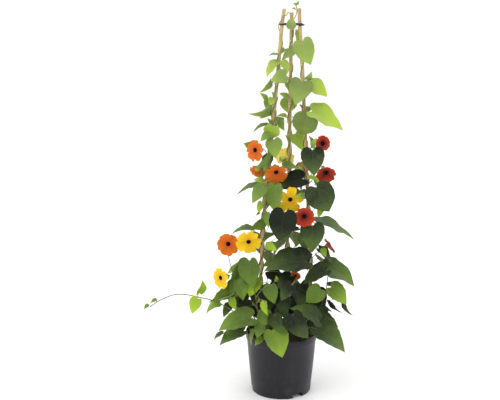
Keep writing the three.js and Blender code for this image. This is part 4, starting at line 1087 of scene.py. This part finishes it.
# %% [markdown]
# ## The leaves of each vine
# Each row is one leaf as it is seen from the front: its base and its tip on the sheet, its width there,
# its depth, the side it turns to, and its tone from 0, dark, to 1, yellow-green. The leaves at the back
# stand in opposite pairs, as on any stem of this plant, and face outward.
# %% Leaf rows
# Base across, base down, tip across, tip down, width, depth in mm, side, tone.
LEAVES = {
    "vine_back_1": [
        (296, 4.5, 292.6, 3.6, 3, 6, 1, 0.75), (296, 4.5, 299, 0.4, 3.4, 6, 1, 0.75),
        (295.6, 9, 291.6, 8.6, 2.6, 6, 1, 0.75), (291, 28, 291.6, 17, 11, 2, 1, 0.6),
        (297, 50, 281.5, 60.8, 9, -2, 1, 0.55), (288, 98.5, 279, 93.5, 6, -4, 1, 0.8),
        (289, 99, 287.5, 112.7, 17, 44, 1, 0.85), (289, 141, 285, 135, 4, 30, 1, 0.8),
        (299, 229, 291.5, 232, 5, 20, 1, 0.2),
    ],
    "vine_back_2": [
        (286.5, 117, 277, 115.7, 4.5, 6, 1, 0.9), (295, 134.5, 303.5, 151, 15, 12, -1, 0.85),
        (283, 166, 298, 169, 8, 2, -1, 0.6),
    ],
    "vine_left_1": [
        (278, 54.5, 268.5, 56, 2.5, -14, 1, 0.4), (276.8, 62.5, 267, 77, 9, -18, 1, 0.85),
        (282.5, 61.5, 287, 74.5, 8.5, -22, -1, 0.85), (286, 75.5, 270.5, 81, 14.5, -28, 1, 0.62),
        (285.5, 83, 289, 92.5, 4.5, -20, -1, 0.9), (270.5, 80.5, 259.4, 92.3, 5.5, -20, -1, 0.75),
        (266.5, 100.5, 259.8, 93, 5.5, -18, 1, 0.8), (272.5, 98, 269.5, 106.5, 8, -24, 1, 0.85),
        (269, 106, 248, 113.6, 5, -20, -1, 0.6), (274, 96, 271.5, 91.5, 4, -16, 1, 0.7),
        (270.5, 124.5, 267, 118.3, 4, -18, 1, 0.6), (273.5, 126, 269, 138, 17, -28, 1, 0.9),
        (269, 134.5, 260.5, 141.5, 8, -22, 1, 0.55), (251, 146, 243.3, 143.3, 8, -18, -1, 0.65),
        (270, 156, 264, 172, 11, -30, 1, 0.35), (263.5, 182, 253.3, 180, 7, -24, 1, 0.85),
        (276.5, 186.5, 278, 214.5, 17, -42, 1, 0.58), (262, 202.5, 259, 214, 7, -32, 1, 0.85),
        (264, 221.5, 250, 228.5, 11, -30, -1, 0.55), (287.5, 240, 272.3, 261, 5.5, -44, 1, 0.35),
    ],
    "vine_left_2": [
        (269.5, 108, 259.3, 118.3, 7.5, -24, 1, 0.8), (281, 120.5, 284.5, 131, 7, -22, 1, 0.65),
        (267, 125, 253, 132.9, 3.5, -20, 1, 0.4), (273.5, 140, 275.5, 158.5, 18, -40, -1, 0.58),
        (268, 154, 252.7, 168.5, 5.5, -30, 1, 0.55), (260, 185, 236.5, 195, 4, -24, 1, 0.35),
        (264, 187, 252.3, 203.5, 14, -32, 1, 0.5), (284.5, 212.5, 278.7, 241, 27.5, -46, 1, 0),
        (268, 213, 269, 228, 7, -34, 1, 0.62), (253, 230.5, 231.8, 234, 5.5, -16, 1, 0.4),
        (260, 213, 255.8, 216, 3, -30, 1, 0.6), (266, 245.5, 277, 251, 9, -36, -1, 0.85),
    ],
    "vine_right_1": [
        (302.5, 42, 310.9, 65, 21, -24, 1, 0.66), (296.5, 30.5, 295.5, 45, 6.5, -14, -1, 0.95),
        (306.5, 79.5, 311.8, 71.3, 6.5, -14, 1, 0.75), (302, 82.5, 295.1, 105, 25, -26, -1, 0.5),
        (310.5, 84.5, 327, 97, 15, -18, -1, 0.9), (307.5, 115.5, 300.5, 134.5, 25, -26, 1, 0.5),
        (312.5, 112, 342.8, 130.6, 18, -18, -1, 0.92), (312.3, 150.5, 314.1, 176, 25, -38, -1, 0.14),
        (305, 166, 295.5, 168, 4, -24, 1, 0.65), (309, 178, 320.5, 184.5, 4.5, -42, -1, 0.9),
        (304.5, 197, 294.5, 198.5, 6.5, -52, 1, 0.75), (302.5, 179, 275, 189.5, 19, -26, 1, 0.03),
    ],
    "vine_right_2": [
        (311, 147, 308.5, 135.5, 4.5, -14, 1, 0.6), (313, 147.5, 317, 138, 6, -20, -1, 0.7),
        (316.2, 187.5, 329.2, 211.8, 28, -38, 1, 0.16), (323, 208.5, 318.5, 218, 7, -32, 1, 0.85),
        (312.5, 226, 312, 252.5, 27, -40, -1, 0.2), (318, 223.5, 354.4, 240, 9, -24, -1, 0.32),
        (319, 249, 332, 263.5, 9, -26, -1, 0.08), (323.5, 248.5, 326, 257, 7, -34, 1, 0.85),
    ],
    "shoot_left": [
        (241.5, 268.5, 229, 293.5, 20, -36, 1, 0.5), (229.7, 282.5, 208.4, 302.5, 10, -42, -1, 0.62),
        (230, 293.5, 206, 314.3, 10, -36, 1, 0.58), (231, 305, 223.5, 317.5, 9.5, -28, 1, 0.25),
        (233, 298, 237, 310.5, 8, -34, 1, 0.85), (257.5, 278, 249.5, 297, 17, -46, 1, 0.85),
        (243, 266, 227, 274, 9, -20, 1, 0.62), (243, 300, 228, 304, 12, -8, -1, 0.3),
        (238, 281, 243, 300.5, 15, -32, -1, 0.5), (241, 290, 228, 301, 12, -20, 1, 0.45),
    ],
    "shoot_front_left": [
        (249.8, 261, 253.5, 288, 22, -60, 1, 0.4), (271, 285, 274.8, 304, 16, -66, 1, 0.45),
        (251, 318, 218.5, 330.8, 21, -66, 1, 0.43), (243.5, 331.5, 219.5, 345.5, 15, -70, 1, 0.4),
        (264, 311, 254.2, 329, 14, -74, 1, 0.55), (265, 302, 268, 315.5, 7, -72, 1, 0.9),
        (262, 325, 257, 338, 12, -80, 1, 0.4), (254, 331, 251.5, 345, 4.5, -80, 1, 0.7),
        (262, 338, 255, 345.5, 8, -82, 1, 0.6), (248, 300, 240, 316, 15, -52, 1, 0.08),
        (255, 306, 262, 322, 15, -60, -1, 0.06), (223, 333, 214, 340.3, 4.5, -62, 1, 0.35),
        (262, 291, 270, 312, 16, -50, -1, 0.12), (270, 318, 262, 334, 13, -66, 1, 0.2),
        (285, 261, 262, 267, 12, -50, 1, 0.25),
    ],
    "shoot_front": [
        (306, 262, 264.3, 271, 26, -60, 1, 0.14), (276, 281, 276, 275.5, 5, -62, 1, 0.9),
        (285, 296, 286, 318.5, 15, -76, 1, 0.12), (275, 315, 281, 333.5, 15, -78, 1, 0.2),
        (272.5, 331, 282.3, 357.6, 25, -86, 1, 0.66), (296, 292, 303, 312, 14, -64, -1, 0.15),
        (291, 276, 277, 289, 15, -50, 1, 0.06), (269, 272, 284, 285, 14, -44, -1, 0.06),
        (292, 285, 281, 301, 15, -56, 1, 0.1), (287, 303, 273, 318, 16, -60, 1, 0.12),
        (298, 313, 286, 329, 17, -68, 1, 0.08),
    ],
    "shoot_front_right": [
        (310, 254, 302, 268, 10, -56, 1, 0.08), (307.3, 259, 307.8, 271, 6, -62, 1, 0.9),
        (320, 289.5, 306, 302.5, 19, -66, 1, 0.5), (318, 320, 290, 308.5, 17, -70, 1, 0.2),
        (293, 315, 308.5, 338.5, 22, -80, 1, 0.1), (326.5, 270.5, 303, 284.5, 16, -54, 1, 0.15),
        (316, 329, 345, 352.6, 22, -76, -1, 0.25), (320, 310, 338.5, 327.5, 16, -66, -1, 0.25),
        (311, 302, 301, 320, 16, -58, 1, 0.1), (305, 318, 321, 333, 16, -72, -1, 0.1),
    ],
    "shoot_right": [
        (325.5, 268, 354.5, 286.5, 19, -44, -1, 0.33), (328, 285, 343.5, 289, 5, -30, -1, 0.3),
        (331, 288, 346.6, 304.3, 18, -40, -1, 0.6), (330, 301, 342, 313, 4, -30, 1, 0.12),
        (344, 303, 354, 316, 4, -28, 1, 0.3), (321, 309, 332, 312, 4.5, -34, -1, 0.15),
    ],
    # These leaves inside the foliage are near black, which paints the shade that falls there.
    "shoot_back": [
        (262, 286, 258, 310, 20, 30, 1, 0.06), (281, 284, 285, 312, 22, 36, 1, 0.04),
        (300, 284, 296, 312, 22, 36, -1, 0.05), (270, 300, 274, 324, 20, 24, 1, 0.05),
        (292, 300, 290, 324, 20, 20, -1, 0.04), (243, 292, 240, 312, 18, 20, 1, 0.1),
        (318, 290, 322, 314, 20, 20, 1, 0.06),
    ],
    "runner_left": [
        (199.1, 293, 202.6, 280.1, 9, -54, 1, 0.9), (198, 299, 192, 314, 13, -54, 1, 0.9),
        (156.6, 299.6, 150.2, 303.4, 4, -50, 1, 0.62), (148.6, 304.8, 143.6, 309.6, 4, -50, 1, 0.62),
        (220, 303, 211, 308, 8, -60, 1, 0.5),
    ],
}
# From, to and bearing of the pairs at the back of each stem, in mm and degrees.
BACK_PAIRS = {
    "vine_left_1": (200, 650, 155), "vine_left_2": (176, 560, 120), "vine_right_1": (190, 640, 40),
    "vine_right_2": (170, 480, 75), "vine_back_1": (180, 690, 90), "vine_back_2": (160, 520, 110),
    "shoot_back": (130, 245, 90),
}
PAIR_SPACING = 124


def front_leaves(vine):
    """The leaves of a vine's rows: the leaf, its key and its tone."""
    for number, (ax, ay, bx, by, width, depth, side, tone) in enumerate(LEAVES[vine]):
        key = number + 31 * len(vine) + ord(vine[-1])
        size = width * (depth - VIEWER.y) / VIEW_FOCAL
        for hand, shift in product((side, -side), SHIFTS):
            base, tip = sightline(ax, ay, depth + shift), sightline(bx, by, depth + shift - 3)
            leaf = Leaf(key, base, tip, size, VIEWER - base, hand)
            if taken(vine, leaf):
                yield leaf, key, tone
                break


# %% Pairs at the back
def youth(height):
    """How young a leaf at the back is for its height: 0 at 150 mm and 1 from 710 mm up."""
    return min(1, (height - 150) / 560)


def back_leaf(vine, height, hand, key):
    """One leaf of a pair, about as long as a thumb low down and shorter higher up."""
    back = cane_at("back", height)
    start = nearest_on(stems[vine], Vector((back.x, back.y + 60, height)))
    young = max(0, youth(height))
    length = 44 - 24 * young + 8 * fraction(key + 0.1)
    turn = math.radians(BACK_PAIRS[vine][2] + hand * (34 + 22 * fraction(key + 0.2)))
    out = Vector((math.cos(turn), math.sin(turn), 0))
    reach = 20 - 8 * young + 6 * fraction(key + 0.3)
    base = start + out * reach + Vector((0, 0, 5 + 8 * fraction(key + 0.4)))
    tip = base + (out - Vector((0, 0, 0.7 + 0.9 * fraction(key + 0.6)))).normalized() * length
    return Leaf(key, base, tip, BLADE_RATIO * length * 0.97, out + Vector((0, 0, 0.6)), 1)


def back_leaves(vine):
    low, high, _ = BACK_PAIRS.get(vine, (0, 0, 0))
    for height, hand in product(range(low, high, PAIR_SPACING), (-1, 1)):
        key = height * 0.37 + hand * 3 + len(vine) * 7
        for extra in (0, 8, -8, 16, -16):
            leaf = back_leaf(vine, height + extra, hand, key)
            if taken(vine, leaf):
                yield leaf, key, 0.14 + 0.4 * youth(height) + 0.16 * fraction(key + 0.9)
                break


foliage = {vine: [*front_leaves(vine), *back_leaves(vine)] for vine in stems}
print("leaves", sum(map(len, foliage.values())), "of which from rows", sum(map(len, LEAVES.values())))

# %% [markdown]
# ## Blooms
# A bloom is a narrow tube that opens into five broad lobes round a velvet dark throat. The lobes
# overlap a little like a pinwheel. One lobe is modelled as a flat grid with a thickness, stored as
# shares across and outward, and five copies are laid round the throat. How far a lobe reaches at each
# place across it gives the three shapes of bloom: plain, round and star.
# %% Bloom rows
# Vine, throat across and down the sheet, depth in mm, turn and lift in degrees, radius, shape, colour,
# roll in degrees, and how much longer the lower lobes are than the middle ones.
BLOOMS = [
    ("vine_left_1", 255.3, 150, -30, -40, 5, 21, "plain", "orange", -10, 0.08),
    ("vine_left_2", 256.4, 171, -6, -140, -44, 14, "plain", "orange", 0, 0),
    ("vine_left_1", 276.2, 172.1, -58, 4, -24, 22, "plain", "orange", 0, 0.22),
    ("vine_back_2", 284.5, 157, 46, 165, 8, 20, "plain", "cream", 10, 0),
    ("vine_right_1", 322.6, 143.4, -24, 18, 10, 15, "round", "red", -8, 0),
    ("vine_right_2", 325.9, 172.5, -30, 8, -18, 18.5, "round", "red", -26, 0.34),
    ("vine_right_1", 301.6, 168.6, 24, 150, 0, 14, "round", "red", 0, 0),
    ("vine_back_1", 290.2, 199.4, -46, 5, -8, 26, "star", "yellow", -26, 0.06),
    ("vine_right_2", 304.1, 216.1, -52, 0, -8, 20, "round", "red", 0, 0.12),
    ("shoot_left", 228.3, 243.9, -30, -10, 0, 22.5, "round", "orange", 8, 0.06),
    ("vine_left_2", 248.6, 241.7, -54, 2, -14, 25, "plain", "yellow", 28, 0.05),
    ("vine_right_2", 328.6, 245, 8, 110, 30, 17, "round", "red", 0, 0.2),
    ("shoot_left", 220.8, 277.8, -44, -46, 0, 21, "plain", "yellow", -7, 0.05),
    ("shoot_front", 294.5, 276, -34, 10, 62, 12, "round", "orange", 0, 0),
    ("vine_back_1", 300, 91, 62, 170, 10, 18, "plain", "orange", 30, 0),
    ("vine_back_2", 274, 199, 78, -160, 0, 17, "plain", "yellow", 12, 0),
    ("vine_back_1", 311, 238, 84, 150, -6, 19, "round", "red", 20, 0),
]
# The throat's radius, the tube's length and how deep the solid eye's middle lies, in mm.
THROAT, TUBE, EYE_DEPTH = 4.7, 19, 1.6
LOBES = 5


def flat_end(x, notch, top, dent):
    """How far a lobe reaches at x, from -1 to 1 across it: a blunt end with a dent in its middle."""
    return notch + (top - notch) * (1 - x ** 6) - dent * max(0, 1 - (x / 0.45) ** 2)


LOBE_REACH = {
    "plain": lambda x: flat_end(x, 0.7, 0.98, 0.05),
    "round": lambda x: flat_end(x, 0.84, 0.99, 0.02),
    "star": lambda x: 0.48 + 0.52 * (1 - abs(x) ** 4),
}


def bloom_frame(place, turn, lift, roll):
    """The matrix that sets a bloom, whose face looks along +Z, at its place."""
    forward = Vector((math.sin(turn) * math.cos(lift), -math.cos(turn) * math.cos(lift), math.sin(lift)))
    across = Vector((0, 0, 1)).cross(forward).normalized()
    across.rotate(Quaternion(forward, roll))
    turned_to = Matrix((across, forward.cross(across), forward)).transposed().to_4x4()
    return Matrix.Translation(place) @ turned_to


# %% One lobe
bpy.ops.mesh.primitive_grid_add(x_subdivisions=20, y_subdivisions=9, size=1)
flat_lobe = bpy.context.object
for vertex in flat_lobe.data.vertices:
    vertex.co.x *= 2.1
    vertex.co.y += 0.5
modify(flat_lobe, "SOLIDIFY", thickness=2, offset=0)


def lobe_piece(number, shape, radius, roll, skew, frame_matrix, key):
    """One of a bloom's five lobes, bent and set round the throat. The lower lobes may be longer."""
    mesh, flat = flat_copy(flat_lobe, "lobe")
    wobble = 1 + 0.05 * (fraction(key + number) - 0.5)
    for vertex, (x, out, side) in zip(mesh.vertices, flat):
        share = min(1, abs(x))
        reach = LOBE_REACH[shape](share) * (1 - 0.02 * max(0, abs(x) - 1) / 0.05) * wobble
        reach *= 1 + 0.022 * math.sin(8 * x + 5 * key + number) + 0.016 * math.sin(17 * x + 3 * key + number)
        turn = 2 * math.pi * (number + 0.5 + x / 2) / LOBES
        full = radius * reach * (1 - skew * math.sin(turn + roll))
        r = THROAT - 0.4 + (full - THROAT + 0.4) * out
        curl = 2.2 - 4.2 * (reach - 0.5) * (0.6 + 0.4 * math.cos(math.pi * x))
        height = 0.35 + (curl - 0.35) * out ** 1.3 + 0.35 * x * out
        height += 0.35 * out ** 2 * math.sin(6 * x + 4 * fraction(key * 3 + number))
        height -= 0.45 * (1 - share) ** 2 * math.sin(math.pi * out)
        vertex.co = (r * math.cos(turn), r * math.sin(turn), height + 0.2 * side)
    mesh.transform(frame_matrix)
    return new_piece("lobe", mesh)


# %% Tube and throat
TUBE_SIDES, EYE_SIDES = 30, 40
# Radius and height of each ring, in mm.
TUBE_RINGS = [
    (1.2, -19.2), (1.7, -18.6), (2.1, -16.5), (2.9, -13), (3.7, -9), (4.5, -5), (5.1, -2), (5.3, -0.8),
    (5.1, -0.1), (4.6, 0.1), (4.3, -0.8), (4.1, -3), (3.9, -4.3), (2, -4.4),
]
EYE_RINGS = [
    (2.2, -3.9), (3.6, -3.7), (4.0, -1.6), (4.5, 0.35), (4.45, 0.75), (4.1, 0.6), (3.4, -0.3),
    (2.3, -1.5), (1.2, -2.3), (0.5, -2.5),
]


def round_piece(rings, sides, frame_matrix, uneven, key):
    """A turned part of the bloom, its points moved in and out a little, as nothing grown is even."""
    piece = turned(rings, sides)
    mesh = piece.data
    flat = []
    for vertex in mesh.vertices:
        place = vertex.co / MM
        bearing = math.atan2(place.y, place.x)
        grow = 1 + uneven * math.sin(5 * bearing + key) + 0.5 * uneven * math.sin(13 * bearing + 2 * key)
        flat += [bearing, place.z / TUBE, -1]
        vertex.co = (place.x * grow, place.y * grow, place.z)
    store(mesh, "lobe", flat, "FLOAT_VECTOR", "vector")
    mesh.transform(frame_matrix)
    return piece


# %% [markdown]
# Petals are thin and matt, and fine veins run outward in them, a little darker than the rest. The red
# ones deepen to crimson near the throat. The backs are paler, partly in their own colour and partly as
# painted light that shines through them, and every petal is given a faint painted glow. The throat is a
# purple so deep that it looks black, with a velvet pile that only catches light at its edge.
# %% Petal finishes
def petal_skin(near, middle, edge, vein, behind):
    """A petal's finish from its colours near the throat, halfway, at its edge, in its veins and behind."""
    def paint(place):
        lobe = stored(place, "lobe", "Vector")
        out, side = split(lobe, ("Y", "Z"))
        streaks = smooth(speckle(stretched(lobe, 9, 0.9, 0.3), 2.2, 3, 0.6), 0.48, 0.68)
        mottle = speckle(place, 260, 3)
        plain = ramp(out + 0.18 * (mottle - 0.5), [(0, near), (0.42, middle), (0.95, edge)])
        front = blend(0.4 * streaks * smooth(out, 1.0, 0.3), plain, vein)
        # The paler back is partly the petal's own colour and partly painted light shining through it.
        back = blend(0.7 * smooth(side, 0.2, -0.2), front, behind)
        colour = blend(0.9 * smooth(out, -0.08, -0.5), back, (172, 186, 96))
        # The emission is a painted glow in the petal's own colour.
        return {"Base Color": colour, "Emission Color": colour, "Roughness": 0.56 + 0.15 * mottle,
                "Normal": bump(streaks + 0.5 * mottle, 0.00022, 0.6)}
    return paint


# Colours near the throat, halfway, at the edge, in the veins and behind. The colours behind are partly the
# petal's own and partly painted light that shines through it.
PETALS = {
    "orange": ((180, 76, 5), (197, 94, 8), (206, 105, 12), (168, 68, 7), (214, 116, 30)),
    "yellow": ((210, 158, 4), (222, 178, 12), (230, 190, 24), (190, 146, 8), (220, 194, 60)),
    "cream": ((222, 193, 62), (229, 203, 82), (236, 214, 102), (208, 178, 62), (238, 218, 106)),
    "red": ((84, 9, 10), (150, 38, 15), (182, 58, 20), (98, 16, 12), (206, 112, 78)),
}
# Painted glow: each petal gives off a little light in its own colour, standing in for light through it from
# behind, most in pale petals.
PETAL_PAINTED_GLOW = {"orange": 0.02, "yellow": 0.03, "cream": 0.1, "red": 0.01}
petal_finishes = {
    colour: make_finish(f"petal_{colour}", petal_skin(*shades), {
        "Specular IOR Level": 0.2, "Sheen Weight": 0.04, "Sheen Roughness": 0.6,
        "Emission Strength": PETAL_PAINTED_GLOW[colour]})
    for colour, shades in PETALS.items()
}


def velvet(place):
    pile = speckle(place, 2600, 3, 0.7)
    colour = blend(pile, (10, 3, 6), (34, 12, 18))
    return {"Base Color": colour, "Roughness": 0.75 + 0.2 * pile, "Normal": bump(pile, 0.0003)}


velvet_finish = make_finish("throat_velvet", velvet, {
    "Specular IOR Level": 0.15, "Sheen Weight": 0.04, "Sheen Roughness": 0.4})

# %% Make the blooms
# Where the stalk's line meets the tube, back from its end, and the stalk's radii from the stem on, in mm.
BEHIND_TUBE = (6, 3.5, 1.1, -1.5)
FLOWER_STALK_RADII = (1.1, 0.85, 0.72, 0.75, 1.1, 2.3, 1.9)
BUD_RADII = (0.9, 0.7, 1.1, 4.2, 3.4, 0.5)
# A bract's base and tip: back from the throat and out from the tube's middle, in mm.
BRACT_ENDS = ((TUBE + 1.8, 1.65), (TUBE - 12.5, 7.2))

flower_lines = {vine: [] for vine in stems}
flower_blades = {vine: [] for vine in stems}
for number, (vine, across, down, depth, turn, lift, radius, shape, colour, roll, skew) in enumerate(BLOOMS):
    node = f"bloom_{number + 1:02d}"
    turn, lift, roll = math.radians(turn), math.radians(lift), math.radians(roll)
    eye_solid = Solid(f"{node}_eye")
    for shift in SHIFTS:
        frame_mm = bloom_frame(sightline(across, down, depth + shift), turn, lift, roll)
        if eye_solid.has_corner(frame_mm @ Vector((0, 0, -EYE_DEPTH))):
            break
    frame_m = Matrix.Scale(MM, 4) @ frame_mm
    parts = [lobe_piece(lobe, shape, radius, roll, skew, frame_m, number) for lobe in range(LOBES)]
    parts.append(round_piece(TUBE_RINGS, TUBE_SIDES, frame_m, 0.02, number))
    hand_over(join(parts), f"{node}_corolla", f"{node}_petals", petal_finishes[colour], 60)
    eye = round_piece(EYE_RINGS, EYE_SIDES, frame_m, 0.035, number)
    hand_over(eye, f"{node}_throat", f"{node}_eye", velvet_finish, 60)

    forward, sideways, centre = frame_mm.col[2].xyz, frame_mm.col[0].xyz, frame_mm.col[3].xyz
    behind = [centre - forward * (TUBE + back) for back in BEHIND_TUBE]
    start = onto_stem(vine, nearest_on(stems[vine], behind[0] - Vector((0, 0, 14))))
    middle = start.lerp(behind[0], 0.5)
    middle.z += (start - behind[0]).length * (0.1 + 0.12 * fraction(number))
    points = [start, start.lerp(middle, 0.12), middle, *behind]
    flower_lines[vine].append(draw_line(points, FLOWER_STALK_RADII, 0.6))
    for hand in (1, -1):
        side = sideways * hand
        base, tip = (centre - forward * back + side * out for back, out in BRACT_ENDS)
        bract = Leaf(number + hand, base, tip, 1, side, 0)
        bract.ratio = min(radius * 0.5, 10) / bract.length
        bract.arch, bract.fold, bract.wave, bract.ripple = 0.2, -0.25, 0, 0
        flower_blades[vine].append(blade_piece("bract", bract, 0.72))
bud_top, bud_foot = sightline(290.4, 275.5, -58), sightline(290.8, 284, -56)
bud_start = nearest_on(stems["shoot_front"], bud_foot - Vector((0, 0, 16)))
bud_bend = bud_start.lerp(bud_foot, 0.6) + Vector((0, 0, 3))
bud_points = [bud_start, bud_bend, bud_foot, *[bud_foot.lerp(bud_top, t) for t in (0.3, 0.65, 1)]]
flower_lines["shoot_front"].append(draw_line(bud_points, BUD_RADII, 0.95))

# %% [markdown]
# ## Growing each vine
# Everything green of one vine becomes one piece: its stem, its stalks with their midribs, its blades,
# and the stalks and bracts of its blooms. They are joined after the curves have become tubes.
# %% Grow the vines
for vine in stems:
    lines = [stem_line(vine), *flower_lines[vine]]
    leaves = list(flower_blades[vine])
    for leaf, key, tone in foliage[vine]:
        start = onto_stem(vine, stalk_start(vine, leaf, key))
        leaves.append(blade_piece(leaf.kind(), leaf, tone))
        lines.append(stalk_line(key, leaf, start, 0.25 + 0.6 * tone))
    tubes = lines_to_meshes(lines)
    for piece in leaves:
        piece.data.materials.append(leaf_finish)
    for piece in tubes:
        piece.data.materials.append(stem_finish)
    hand_over(join([*tubes, *leaves]), f"{vine}_growth", vine, None, 50)
for flat in [*blades.values(), flat_lobe]:
    bpy.data.objects.remove(flat)
